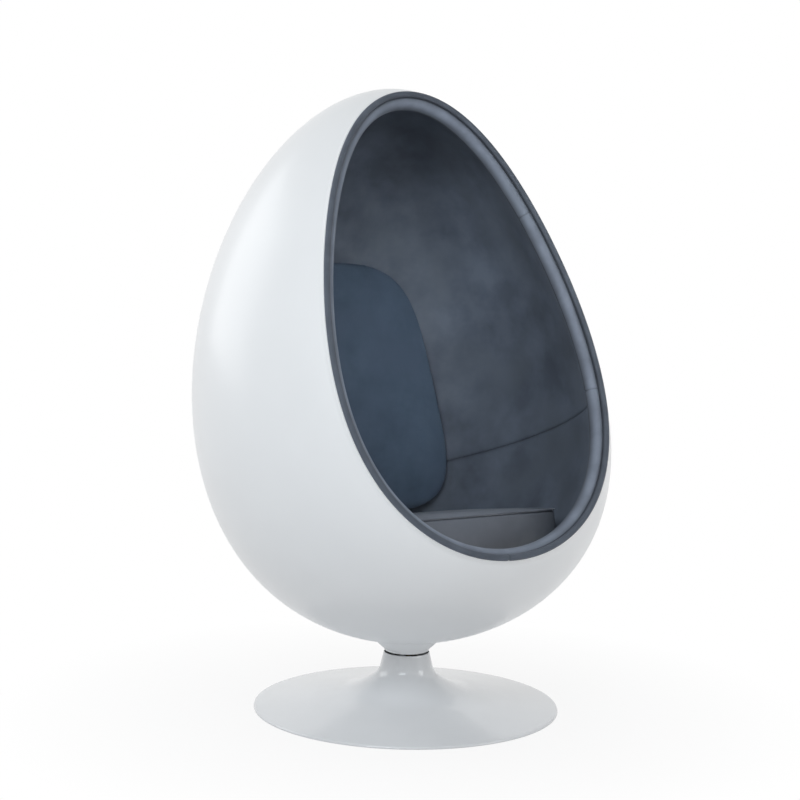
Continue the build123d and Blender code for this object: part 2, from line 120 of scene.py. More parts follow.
def soft_waves(points: np.ndarray, wavelength: float, seed: int, count: int = 7) -> np.ndarray:
    """Smooth irregular heights between about -1 and 1: a mean of sine waves that run in seeded directions.

    Args:
        points: places in metres, in the last axis.
        wavelength: typical distance between two crests, in metres.
        seed: of the directions, lengths and phases.
        count: of the waves.
    """
    shortest, longest, gain = 0.7, 1.5, 1.6
    draw = np.random.default_rng(seed)
    headings = unit(draw.normal(size=(count, 3)))
    runs = headings * 2.0 * math.pi / (wavelength * draw.uniform(shortest, longest, (count, 1)))
    phases = draw.uniform(0.0, 2.0 * math.pi, count)
    return np.sin(points @ runs.T + phases).mean(axis=-1) * gain


def dent(points: np.ndarray, start: tuple, end: tuple, width: float) -> np.ndarray:
    """Depth of a crease from 0 to 1: a bell curve of the distance to the straight stretch from start to end."""
    blunt = 0.15                   # square of the depth that is left at either end
    run = np.subtract(end, start)
    along = np.clip((points - start) @ run / (run @ run), 0.0, 1.0)
    distance = np.linalg.norm(points - (start + along[..., None] * run), axis=-1)
    return bell(distance, width) * np.sqrt(np.clip(4.0 * along * (1.0 - along) + blunt, 0.0, 1.0))


# ---------------------------------------------------------------- meshes

class Ends(Enum):
    """How the first and the last row of a skin are finished."""

    LOOP = "the last row joins the first"
    CAPPED = "each closes on its own middle point"


def skin_faces(rows: int, columns: int, ends: Ends) -> tuple[np.ndarray, np.ndarray]:
    """Work out the quads of a grid that is closed along its columns, and the triangles of its two caps.

    Args:
        rows: of points.
        columns: of points in each row.
        ends: how the first and last rows are finished.

    Returns:
        Quads and triangles as rows of point numbers. The caps' middle points follow the grid's points.
    """
    spans = rows if ends is Ends.LOOP else rows - 1
    row, column = np.meshgrid(np.arange(spans), np.arange(columns), indexing="ij")
    beside, below = (column + 1) % columns, (row + 1) % rows
    here, there = row * columns, below * columns
    quads = np.stack((here + column, here + beside, there + beside, there + column), axis=-1).reshape(-1, 4)
    if ends is Ends.LOOP:
        return quads, np.empty((0, 3), int)
    around = np.arange(columns)
    onwards = (around + 1) % columns
    first, last = rows * columns, rows * columns + 1
    start = np.stack((np.full(columns, first), onwards, around), axis=-1)
    final = (rows - 1) * columns
    finish = np.stack((np.full(columns, last), final + around, final + onwards), axis=-1)
    return quads, np.concatenate((start, finish))


def enclosed_volume(points: np.ndarray, triangles: np.ndarray) -> float:
    """Volume inside triangles that face outwards, or less its value: a sixth of the sum of triple products."""
    a, b, c = (points[triangles[:, corner]] for corner in range(3))
    return float(np.einsum("ij,ij->i", a, np.cross(b, c)).sum() / 6.0)


def make_piece(name: str, points: np.ndarray, quads: np.ndarray, triangles: np.ndarray) -> bpy.types.Object:
    """Put points and faces into a smooth-shaded mesh object at the origin, with its faces turned outwards.

    Args:
        name: of the object and its mesh.
        points: one row for each, in metres.
        quads: faces of four point numbers.
        triangles: faces of three point numbers.
    """
    split = np.concatenate((quads[:, [0, 1, 2]], quads[:, [0, 2, 3]], triangles))
    if enclosed_volume(points, split) < 0.0:
        quads, triangles = quads[:, ::-1], triangles[:, ::-1]
    corners = np.concatenate((quads.ravel(), triangles.ravel())).astype(np.int32)
    sizes = np.concatenate((np.full(len(quads), 4), np.full(len(triangles), 3))).astype(np.int32)
    starts = np.concatenate(([0], np.cumsum(sizes)[:-1])).astype(np.int32)
    mesh = bpy.data.meshes.new(name)
    mesh.vertices.add(len(points))
    mesh.vertices.foreach_set("co", points.astype(np.float32).ravel())
    mesh.loops.add(len(corners))
    mesh.loops.foreach_set("vertex_index", corners)
    mesh.polygons.add(len(sizes))
    mesh.polygons.foreach_set("loop_start", starts)
    mesh.polygons.foreach_set("loop_total", sizes)
    mesh.polygons.foreach_set("use_smooth", np.ones(len(sizes), bool))
    mesh.update(calc_edges=True)
    piece = bpy.data.objects.new(name, mesh)
    bpy.context.scene.collection.objects.link(piece)
    return piece


def skin(name: str, rows: np.ndarray, ends: Ends) -> bpy.types.Object:
    """Make a closed piece from rows of points, each of which runs once round the piece.

    Args:
        name: of the piece.
        rows: points by row and column.
        ends: how the first and last rows are finished.
    """
    quads, triangles = skin_faces(rows.shape[0], rows.shape[1], ends)
    points = rows.reshape(-1, 3)
    if ends is Ends.CAPPED:
        points = np.concatenate((points, rows[0].mean(axis=0)[None], rows[-1].mean(axis=0)[None]))
    return make_piece(name, points, quads, triangles)


def mark(piece: bpy.types.Object, name: str, values: np.ndarray) -> None:
    """Store a number for each of the grid's points, and 0 for the caps' middle points, as a named attribute."""
    padded = np.zeros(len(piece.data.vertices), np.float32)
    padded[: values.size] = values.ravel()
    piece.data.attributes.new(name, "FLOAT", "POINT").data.foreach_set("value", padded)


def vertex_places(mesh: bpy.types.Mesh) -> np.ndarray:
    """Read a mesh's vertices as rows of three numbers."""
    places = np.empty(len(mesh.vertices) * 3, np.float32)
    mesh.vertices.foreach_get("co", places)
    return places.reshape(-1, 3).astype(float)


def set_vertex_places(mesh: bpy.types.Mesh, places: np.ndarray) -> None:
    """Write a mesh's vertices from rows of three numbers."""
    mesh.vertices.foreach_set("co", places.astype(np.float32).ravel())
    mesh.update()


# ---------------------------------------------------------------- finishes

Tree = bpy.types.NodeTree
Socket = bpy.types.NodeSocket


def linear(colour: str) -> tuple[float, float, float, float]:
    """Turn an sRGB hex colour into linear light, by the sRGB curve's straight foot and its power of 2.4."""
    shares = [int(colour.lstrip("#")[place : place + 2], 16) / 255.0 for place in (0, 2, 4)]
    light = [share / 12.92 if share <= 0.04045 else ((share + 0.055) / 1.055) ** 2.4 for share in shares]
    return (*light, 1.0)


def add_node(tree: Tree, kind: str, settings: dict | None = None) -> bpy.types.Node:
    """Add a shader node.

    Args:
        tree: of the material or the world.
        kind: the node's type name.
        settings: values by attribute name, or by the name or number of an input. A socket is linked to it.

    Returns:
        The new node.
    """
    node = tree.nodes.new(kind)
    for key, value in (settings or {}).items():
        if isinstance(key, str) and hasattr(node, key):
            setattr(node, key, value)
        elif isinstance(value, Socket):
            tree.links.new(value, node.inputs[key])
        else:
            node.inputs[key].default_value = value
    return node


def ramp(tree: Tree, value: Socket, start: tuple = (0.0, 1.0), end: tuple = (0.0, 1.0)) -> Socket:
    """Map a value from its span at the start to its span at the end, and hold it at both limits."""
    spans = dict(zip(("From Min", "From Max", "To Min", "To Max"), (*start, *end)))
    return add_node(tree, "ShaderNodeMapRange", {"Value": value, **spans}).outputs[0]


def calculate(tree: Tree, operation: str, first: Socket | float, second: Socket | float) -> Socket:
    """Join two numbers by an operation."""
    return add_node(tree, "ShaderNodeMath", {"operation": operation, 0: first, 1: second}).outputs[0]


def mix_colours(tree: Tree, share: Socket, first: Socket | tuple, second: Socket | tuple) -> Socket:
    """Mix two colours by the share of the second."""
    return add_node(tree, "ShaderNodeMix", {"data_type": "RGBA", 0: share, 6: first, 7: second}).outputs[2]


def noise(tree: Tree, place: Socket, size: float, **settings: float) -> Socket:
    """Add smooth noise whose patches have this size in metres."""
    return add_node(tree, "ShaderNodeTexNoise", {"Vector": place, "Scale": 1.0 / size, **settings}).outputs[0]


def attribute(tree: Tree, name: str) -> Socket:
    """Read a number that is stored with the mesh."""
    return add_node(tree, "ShaderNodeAttribute", {"attribute_name": name}).outputs["Fac"]


def empty_material(name: str) -> tuple[bpy.types.Material, Tree, Socket]:
    """Make a material that holds no node but the object's own coordinates."""
    material = bpy.data.materials.new(name)
    material.use_nodes = True
    tree = material.node_tree
    tree.nodes.clear()
    return material, tree, add_node(tree, "ShaderNodeTexCoord").outputs["Object"]


@dataclass(frozen=True)
class Finish:
    """A material with a mottled colour and a fine relief, both measured in real millimetres."""

    name: str
    light: str                     # sRGB colour of the paler patches
    dark: str                      # and of the darker ones
    roughness: float
    mottle: float = 60 * MM        # distance between two patches
    grain: float = 1.5 * MM        # distance between two bumps of the relief
    relief: float = 0.0            # height of the relief
    metallic: float = 0.0
    ior: float = 1.5
    coat: float = 0.0
    coat_roughness: float = 0.03
    stretch: tuple = (1.0, 1.0, 1.0)

    def colour(self, tree: Tree, place: Socket) -> Socket:
        """Mix the two colours by smooth noise."""
        patches = noise(tree, place, self.mottle, Detail=3.0, Roughness=0.55)
        return mix_colours(tree, ramp(tree, patches, (0.35, 0.65)), linear(self.dark), linear(self.light))

    def bump(self, tree: Tree, place: Socket) -> Socket:
        """Turn fine noise into a relief of the finish's own height."""
        bumps = noise(tree, place, self.grain, Detail=2.0)
        return add_node(tree, "ShaderNodeBump", {"Distance": self.relief, "Height": bumps}).outputs[0]

    def surface(self, tree: Tree, colour: Socket) -> bpy.types.Node:
        """Add the shader itself and the output."""
        shader = add_node(
            tree, "ShaderNodeBsdfPrincipled",
            {
                "Base Color": colour, "Metallic": self.metallic, "Roughness": self.roughness, "IOR": self.ior,
                "Coat Weight": self.coat, "Coat Roughness": self.coat_roughness,
            },
        )
        add_node(tree, "ShaderNodeOutputMaterial", {"Surface": shader.outputs[0]})
        return shader

    def build(self) -> bpy.types.Material:
        """Make the material."""
        material, tree, own_place = empty_material(self.name)
        place = add_node(tree, "ShaderNodeMapping", {"Scale": self.stretch, "Vector": own_place}).outputs[0]
        shader = self.surface(tree, self.colour(tree, place))
        if self.relief > 0.0:
            tree.links.new(self.bump(tree, place), shader.inputs["Normal"])
        return material


@dataclass(frozen=True)
class Suede(Finish):
    """Brushed microfibre suede: matt and cloudy, with a soft sheen where the nap catches light."""

    mottle: float = 80 * MM
    grain: float = 0.9 * MM
    relief: float = 0.12 * MM
    sheen: float = 0.3
    sheen_roughness: float = 0.45
    sheen_tint: str = "#c9d2de"
    specular: float = 0.15
    cloud: float = 190 * MM        # distance between two broad strokes of the nap
    cloud_tint: str = "#5a5b66"
    crease_shade: float = 0.55     # painted shade at a seam's bottom: how much darker the colour is there

    def colour(self, tree: Tree, place: Socket) -> Socket:
        """Mix small patches with broad strokes of random tone, scale them by one plus the stored tone and painted
        light, and darken them by the painted shade in the creases.
        """
        clouds = noise(tree, place, self.cloud, Detail=1.5, Distortion=0.6)
        broad_patches = ramp(tree, clouds, (0.40, 0.66), (0.0, 0.75))
        brushed = mix_colours(tree, broad_patches, super().colour(tree, place), linear(self.cloud_tint))
        # Painted light and painted shade stored with the mesh, with some random tone, scale the colour; painted
        # shade darkens the seams, creases and valleys.
        lightness = calculate(tree, "ADD", attribute(tree, "tone_and_painted_light"), 1.0)
        deep = ramp(tree, attribute(tree, "crease"), end=(1.0, 1.0 - self.crease_shade))
        shade = calculate(tree, "MULTIPLY", lightness, deep)
        highlight_and_shade = add_node(tree, "ShaderNodeVectorMath", {"operation": "SCALE", 0: brushed, "Scale": shade})
        return highlight_and_shade.outputs[0]

    def surface(self, tree: Tree, colour: Socket) -> bpy.types.Node:
        """Add the shader with its sheen."""
        shader = super().surface(tree, colour)
        shader.inputs["Sheen Weight"].default_value = self.sheen
        shader.inputs["Sheen Roughness"].default_value = self.sheen_roughness
        shader.inputs["Sheen Tint"].default_value = linear(self.sheen_tint)
        shader.inputs["Specular IOR Level"].default_value = self.specular
        return shader


@dataclass(frozen=True)
class Plywood(Finish):
    """Birch plywood: pale veneers whose edges show as brown lines, stacked along the board's thickness."""

    ply: float = 1.6 * MM
    glue_line: str = "#7a5c3c"

    def colour(self, tree: Tree, place: Socket) -> Socket:
        """Mix the grain with bands that repeat with each veneer."""
        bands = add_node(
            tree, "ShaderNodeTexWave",
            {
                "bands_direction": "Z", "Vector": place, "Scale": WAVE_PERIOD / self.ply, "Distortion": 0.6,
                "Detail Scale": 2.0,
            },
        )
        edge = ramp(tree, bands.outputs[1], (0.75, 1.0), (0.0, 0.7))
        return mix_colours(tree, edge, super().colour(tree, place), linear(self.glue_line))


# Polyester gelcoat from a polished mould: an even soft gloss with a barely visible long waviness
GELCOAT = Finish("gelcoat_polished", "#f4f6f7", "#f1f3f4", 0.34, mottle=300 * MM, grain=70 * MM,
                 relief=0.12 * MM, coat=0.15, coat_roughness=0.16)
# Spun steel in baked enamel: slightly greyer than the gelcoat, glossy, with the faint peel of sprayed paint
ENAMEL = Finish("enamel_baked", "#e2e4e6", "#dddfe1", 0.20, mottle=250 * MM, grain=9 * MM, relief=0.02 * MM,
                coat=0.25, coat_roughness=0.06)
# Microfibre suede on foam: a matt slate grey that turns warmer and cooler where the nap is brushed
LINING_SUEDE = Suede("suede_lining", "#6e7784", "#5f6773", 0.92, mottle=70 * MM, cloud_tint="#676f79",
                     crease_shade=0.35)
# The same cloth on the loose back cushion, a cooler and more even blue grey
CUSHION_SUEDE = Suede("suede_cushion", "#66788d", "#5a6c80", 0.92, cloud_tint="#617186")
# The seat's cover has the lining's grey, and the piping's tight cover catches more light along its edge
SEAT_SUEDE = Suede("suede_seat", "#7e848d", "#717781", 0.92, cloud_tint="#757a84")
PIPING_SUEDE = Suede("suede_piping", "#6f747d", "#636972", 0.85, mottle=45 * MM, relief=0.08 * MM, sheen=0.45,
                     cloud_tint="#696e77")
# The same cloth pulled tight over the two rolls, with painted shade in the valleys between them
ROLL_SUEDE = Suede("suede_roll", "#666d78", "#5b616b", 0.85, mottle=45 * MM, relief=0.10 * MM,
                   cloud_tint="#626973", crease_shade=0.6)
# Black nitrile rubber sheet: matt, with a talc-dry surface
RUBBER = Finish("rubber_sheet", "#262626", "#1d1d1d", 0.85, grain=1.2 * MM, relief=0.15 * MM)
# Cast iron in thin black paint: the sand mould's grain shows through
CAST_IRON = Finish("iron_painted", "#343434", "#242322", 0.6, mottle=20 * MM, grain=2.0 * MM, relief=0.3 * MM)
# Drawn and turned mild steel, oiled: grey metal with fine rings from the lathe
TURNED_STEEL = Finish("steel_turned", "#a9aaac", "#8f9092", 0.32, mottle=12 * MM, grain=0.8 * MM,
                      relief=0.02 * MM, metallic=1.0, stretch=(1.0, 1.0, 9.0))
# Hardened and ground bearing steel: near a mirror
BEARING_STEEL = Finish("steel_ground", "#c9cbcd", "#bfc1c4", 0.10, mottle=10 * MM, metallic=1.0)
# Spring steel blackened in oil
SPRING_STEEL = Finish("steel_blackened", "#47474a", "#39393b", 0.40, mottle=6 * MM, metallic=1.0)
# Bright zinc on pressed and rolled fasteners: soft metal gloss with a cloudy bluish cast
ZINC = Finish("zinc_bright", "#c3c6ca", "#a9adb3", 0.35, mottle=5 * MM, grain=1.5 * MM, relief=0.02 * MM,
              metallic=1.0)
# Stamped brass
BRASS = Finish("brass_stamped", "#c8a55a", "#b08d46", 0.30, mottle=6 * MM, metallic=1.0)
# Moulded nylon in its natural milky colour
NYLON = Finish("nylon_moulded", "#e6e2d6", "#dcd7c8", 0.45, mottle=15 * MM, ior=1.53)
# Open-cell upholstery foam: yellowish and full of fine pores
FOAM = Finish("foam_open_cell", "#e3dcc0", "#cfc6a4", 0.95, mottle=4 * MM, grain=1.6 * MM, relief=0.5 * MM)
# Birch plywood, sanded and bare
PLYWOOD = Plywood("plywood_birch", "#d9bb8c", "#c6a272", 0.60, mottle=9 * MM, grain=0.7 * MM, relief=0.03 * MM,
                  stretch=(0.15, 1.0, 1.0))

SLOT_FINISHES = {
    "shell_gelcoat": GELCOAT,
    "base_enamel": ENAMEL,
    "pad_rubber": RUBBER,
    "ballast_iron": CAST_IRON,
    "tube_steel": TURNED_STEEL,
    "bush_nylon": NYLON,
    "bearing_steel": BEARING_STEEL,
    "cage_brass": BRASS,
    "spindle_steel": TURNED_STEEL,
    "clip_steel": SPRING_STEEL,
    "fastener_zinc": ZINC,
    "board_plywood": PLYWOOD,
    "filler_foam": FOAM,
    "cover_suede": LINING_SUEDE,
    "cushion_suede": CUSHION_SUEDE,
}


@dataclass
class Workshop:
    """Keeps one material for each finish, and hands pieces over to the frame."""

    materials: dict = field(default_factory=dict)

    def material(self, finish: Finish) -> bpy.types.Material:
        """Build a finish's material the first time that it is asked for."""
        if finish.name not in self.materials:
            self.materials[finish.name] = finish.build()
        return self.materials[finish.name]

    def deliver(self, piece: bpy.types.Object, finish: Finish, body: str, slot: str, *stands_for: str) -> None:
        """Dress a piece, seat it on its body and hide the CAD nodes that it stands for.

        Args:
            piece: a finished mesh at the origin.
            finish: of its whole surface.
            body: that it rides on.
            slot: the record's material slot; not used.
            stands_for: CAD nodes that it replaces.
        """
        piece.data.materials.append(self.material(finish))
        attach(piece, body)
        if stands_for:
            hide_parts(*stands_for)
        LOG.info("%s: %d faces on %s", piece.name, len(piece.data.polygons), body)

    def dress_hardware(self, frame: dict) -> None:
        """Give every CAD node that still shows the finish of its record's slot."""
        for row in frame["record"]["subparts"]:
            node = frame["nodes"][row["node"]]
            node.data.materials.clear()
            node.data.materials.append(self.material(SLOT_FINISHES[row["material_slot"]]))
            node.data.polygons.foreach_set("material_index", np.zeros(len(node.data.polygons), np.int32))


# ---------------------------------------------------------------- the egg and its mouth

@dataclass
class PodForm:
    """The egg: a stack of level circles, named by a level from -1 at the bottom pole to 1 at the top pole.

    A circle's radius is the pod's radius times a circle's own root of one less the level squared, times a cubic
    of the level. Its centre lies on a line that leans back by another cubic. An inset shrinks both from outside.
    """

    bottom: float
    top: float
    radius: float = 0.422
    mid_back: float = 0.061
    swell: tuple = (1.0, -0.216, 0.020, 0.026)
    lean: tuple = (0.0, 0.200, -0.015, -0.125)
    halvings: int = 34             # of a ray's span, down to less than a nanometre

    @property
    def half_height(self) -> float:
        """From the middle circle to either pole."""
        return (self.top - self.bottom) / 2.0

    @property
    def middle(self) -> np.ndarray:
        """Centre of the middle circle."""
        return np.array([0.0, self.mid_back, (self.top + self.bottom) / 2.0])

    def inside(self, points: np.ndarray, inset: np.ndarray) -> np.ndarray:
        """Say which points lie within the egg, set in by the inset: inside the edge of their own circle."""
        half = self.half_height - inset
        level = (points[..., 2] - self.middle[2]) / half
        held = np.clip(level, -1.0, 1.0)
        edge = (self.radius - inset) * np.sqrt(1.0 - held**2) * polyval(held, self.swell)
        centre = self.mid_back + half * polyval(held, self.lean)
        return (np.abs(level) < 1.0) & (np.hypot(points[..., 0], points[..., 1] - centre) < edge)

    def reach(self, origins: np.ndarray, directions: np.ndarray, inset: np.ndarray) -> np.ndarray:
        """Find how far each ray runs inside the egg, by halving the span that holds the surface.

        Args:
            origins: inside the egg, by the same axes as the directions or fewer.
            directions: unit vectors.
            inset: from the egg's outside, one number or one for each ray.
        """
        near = np.zeros(directions.shape[:-1])
        far = near + 2.0 * self.half_height
        for _ in range(self.halvings):
            span = (near + far) / 2.0
            within = self.inside(origins + directions * span[..., None], inset)
            near, far = np.where(within, span, near), np.where(within, far, span)
        return near

    def surface(self, origins: np.ndarray, directions: np.ndarray, inset: np.ndarray) -> np.ndarray:
        """Points where rays meet the egg's surface, set in by the inset."""
        return origins + directions * self.reach(origins, directions, inset)[..., None]


@dataclass
class Mouth:
    """The flat slanted opening: a centre, a direction up along it and one straight out of it."""

    form: PodForm
    rise: float = 0.109
    forward: float = 0.173
    lean: float = math.radians(24.5)

    def __post_init__(self) -> None:
        """Work out the opening's own axes."""
        self.centre = np.array([0.0, -self.forward, self.form.middle[2] + self.rise])
        self.up = np.array([0.0, math.sin(self.lean), math.cos(self.lean)])
        self.out = np.array([0.0, -math.cos(self.lean), math.sin(self.lean)])

    def rim(self, angles: np.ndarray, inset: np.ndarray, forward: np.ndarray) -> np.ndarray:
        """Points of the egg's wall near its rim.

        Args:
            angles: round the mouth, from across through up.
            inset: from the egg's outside.
            forward: out of the mouth's plane.
        """
        angles, inset, forward = np.broadcast_arrays(angles, inset, forward)
        outwards = spoke(angles, ACROSS, self.up)
        origins = self.centre + forward[..., None] * self.out
        return self.form.surface(origins, outwards, inset)


def between(start: np.ndarray, end: np.ndarray, share: np.ndarray) -> np.ndarray:
    """Turn evenly from one unit vector to another: a slerp, weighed by the sines of the parts of the turn."""
    turn = np.arccos(np.clip((start * end).sum(axis=-1), -1.0, 1.0))[..., None]
    share = share[..., None]
    return (np.sin((1.0 - share) * turn) * start + np.sin(share * turn) * end) / np.sin(turn)


@dataclass
class Shell:
    """The moulded egg with its rounded cut edge: one skin from its back, out to the lip and in again."""

    form: PodForm
    mouth: Mouth
    wall: float = 6 * MM
    lip_round: float = 1.5 * MM
    columns: int = 300
    outer_rows: int = 120
    lip_rows: int = 5
    inner_rows: int = 50

    def build(self, workshop: Workshop) -> None:
        """Make the skin: rays turn from the back pole to the rim, and a quarter circle rounds the lip."""
        angles = full_turn(self.columns)
        pole = np.broadcast_to(-self.mouth.out, (self.columns, 3))
        middle = self.form.middle
        edge = self.mouth.rim(angles, 0.0, -self.lip_round)
        inner_edge = self.mouth.rim(angles, self.wall, 0.0)
        outer = self.walls(pole, unit(edge - middle), 0.0, self.outer_rows)
        inner = self.walls(pole, unit(inner_edge - middle), self.wall, self.inner_rows)[::-1]
        inwards = -unit(self.mouth.rim(angles, 0.0, 0.0) - self.mouth.centre)
        turn = np.linspace(0.0, math.pi / 2.0, self.lip_rows + 1)[1:, None, None]
        lip = edge + self.lip_round * ((1.0 - np.cos(turn)) * inwards + np.sin(turn) * self.mouth.out)
        piece = skin("shell_moulding", np.concatenate((outer, lip, inner)), Ends.CAPPED)
        workshop.deliver(piece, GELCOAT, "pod", "shell_gelcoat", "outer_shell")

    def walls(self, pole: np.ndarray, rim: np.ndarray, inset: float, rows: int) -> np.ndarray:
        """Rows of one face of the wall, from just beside the pole to the rim."""
        shares = np.linspace(0.0, 1.0, rows + 1)[1:, None] * np.ones(len(rim))
        directions = between(pole[None], rim[None], shares)
        return self.form.surface(self.form.middle, directions, inset)


@dataclass
class Roll:
    """A soft roll round the mouth: part of a circle and a flat rear, carried along the rim.

    A section is written as pairs of a distance inwards from the egg's rim, square to it in the mouth's plane,
    and a distance out of that plane. Beside the egg's wall, points are given by their depth under its outside
    instead. The seams pinch the circle. Painted shade darkens the pinches and the arc's ends, and a painted
    highlight lies along the crown.
    """

    name: str
    node: str
    middle: tuple                  # of the circle
    radius: float
    arc_start: float               # degrees from straight inwards, through straight out of the mouth
    arc_end: float
    rear: tuple                    # the section's other points, by their inset under the egg's outside
    seams: tuple                   # degrees round the mouth, and the depth of the pinch there
    fill: float
    seed: int
    fullness: float = 0.012        # share of the radius that soft waves add and take
    long_wave: float = 150 * MM
    short_wave: float = 30 * MM
    # wavelength of the unevenness of the painted highlight
    highlight_wave: float = 60 * MM
    arc_points: int = 26
    rows: int = 1000
    seam_width: float = 1.6 * MM
    # painted shade at the seams' pinches
    seam_shade: float = 0.45
    valley: tuple = (0.0, 0.0)     # degrees in which either end of the arc is darkened by painted shade towards its neighbour
    crown: float = 45.0            # degrees of the arc's middle, where the painted highlight lies
    crown_width: float = 34.0
    # painted highlight along the crown; a negative value darkens the crown instead
    crown_highlight: float = 0.9

    def build(self, mouth: Mouth, workshop: Workshop) -> None:
        """Make the roll: each point of the arc lies at the radius from the circle's middle, scaled along the rim."""
        angles = full_turn(self.rows)
        rim = mouth.rim(angles, 0.0, 0.0)
        inwards = np.cross(mouth.out, unit(np.roll(rim, -1, axis=0) - np.roll(rim, 1, axis=0)))
        size, crease = self.pinched(angles, np.linalg.norm(rim - mouth.centre, axis=-1))
        waves = soft_waves(rim, self.long_wave, self.seed)
        size += self.fullness * (waves + 0.4 * soft_waves(rim, self.short_wave, self.seed + 1))
        turn = np.linspace(self.arc_start, self.arc_end, self.arc_points)
        place = rim + self.middle[0] * inwards + self.middle[1] * mouth.out
        way = spoke(np.radians(turn), inwards[:, None], mouth.out)
        rounded = place[:, None] + (self.radius * size[:, None])[..., None] * way
        rear = np.array(self.rear)
        flat = mouth.rim(angles[:, None], rear[:, 0] * np.ones((self.rows, 1)), rear[:, 1])
        rows = np.concatenate((rounded, flat), axis=1)
        piece = skin(self.name, rows, Ends.LOOP)
        # Painted shade in the valleys at the arc's ends and at the seams' pinches, and a painted highlight along the
        # crown
        shade, highlight_and_shade = np.zeros((2, rows.shape[1]))
        for end, width in zip((self.arc_start, self.arc_end), self.valley):
            if width > 0.0:
                shade[: self.arc_points] = np.maximum(shade[: self.arc_points], bell(turn - end, width))
        highlight_and_shade[: self.arc_points] = self.crown_highlight * bell(turn - self.crown, self.crown_width)
        unevenness = 1.0 + 0.3 * soft_waves(rim, self.highlight_wave, self.seed + 2)
        mark(piece, "crease", np.maximum(self.seam_shade * crease[:, None], shade))
        mark(piece, "tone_and_painted_light", highlight_and_shade * unevenness[:, None])
        workshop.deliver(piece, ROLL_SUEDE, "pod", "cover_suede", self.node)

    def pinched(self, angles: np.ndarray, length: np.ndarray) -> tuple[np.ndarray, np.ndarray]:
        """Share of the radius that the seams leave at each angle, and the painted shade of the pinch from 0 to 1.

        Args:
            angles: round the mouth.
            length: from the mouth's centre to the rim.
        """
        size, crease = np.ones(self.rows), np.zeros(self.rows)
        for seam, depth in self.seams:
            off = np.remainder(angles - math.radians(seam) + math.pi, 2.0 * math.pi) - math.pi
            pinch = bell(off * length, self.seam_width)
            size -= depth * pinch
            crease = np.maximum(crease, pinch)
        return size, crease


# The outer roll is a round cord in its cover, which lies on the shell's cut edge
WELT = Roll(
    "welt_roll", "rim_welt", middle=(6.6 * MM, 2.0 * MM), radius=6.2 * MM, arc_start=-15.0, arc_end=195.0,
    rear=((1.8 * MM, 0.35 * MM), (4.0 * MM, 0.35 * MM), (6.2 * MM, 0.35 * MM)),
    seams=((-91.8, 0.16),), fill=0.9, seed=41, arc_points=22, valley=(26.0, 0.0), crown=90.0,
    # On the welt the crown's painted light is negative and darkens it
    crown_width=50.0, crown_highlight=-0.22,
)
# The inner roll bulges inwards from the wooden ring, and is hooked over that ring under the outer roll
BOLSTER = Roll(
    "bolster_roll", "rim_bolster", middle=(10.9 * MM, -20.3 * MM), radius=18.5 * MM, arc_start=-17.9,
    arc_end=86.0,
    rear=(
        (6.7 * MM, -1.9 * MM), (6.7 * MM, -3.6 * MM), (13.2 * MM, -3.6 * MM), (13.2 * MM, -14.0 * MM),
        (13.2 * MM, -25.9 * MM),
    ),
    seams=((44.3, 0.07), (-26.6, 0.09)), fill=0.8, seed=51, valley=(10.0, 6.0), crown=46.0,
)


# ---------------------------------------------------------------- lining

class Side(Enum):
    """The two panels of the lining, by the direction from their seam to the rim."""

    UPPER = 1
    LOWER = -1


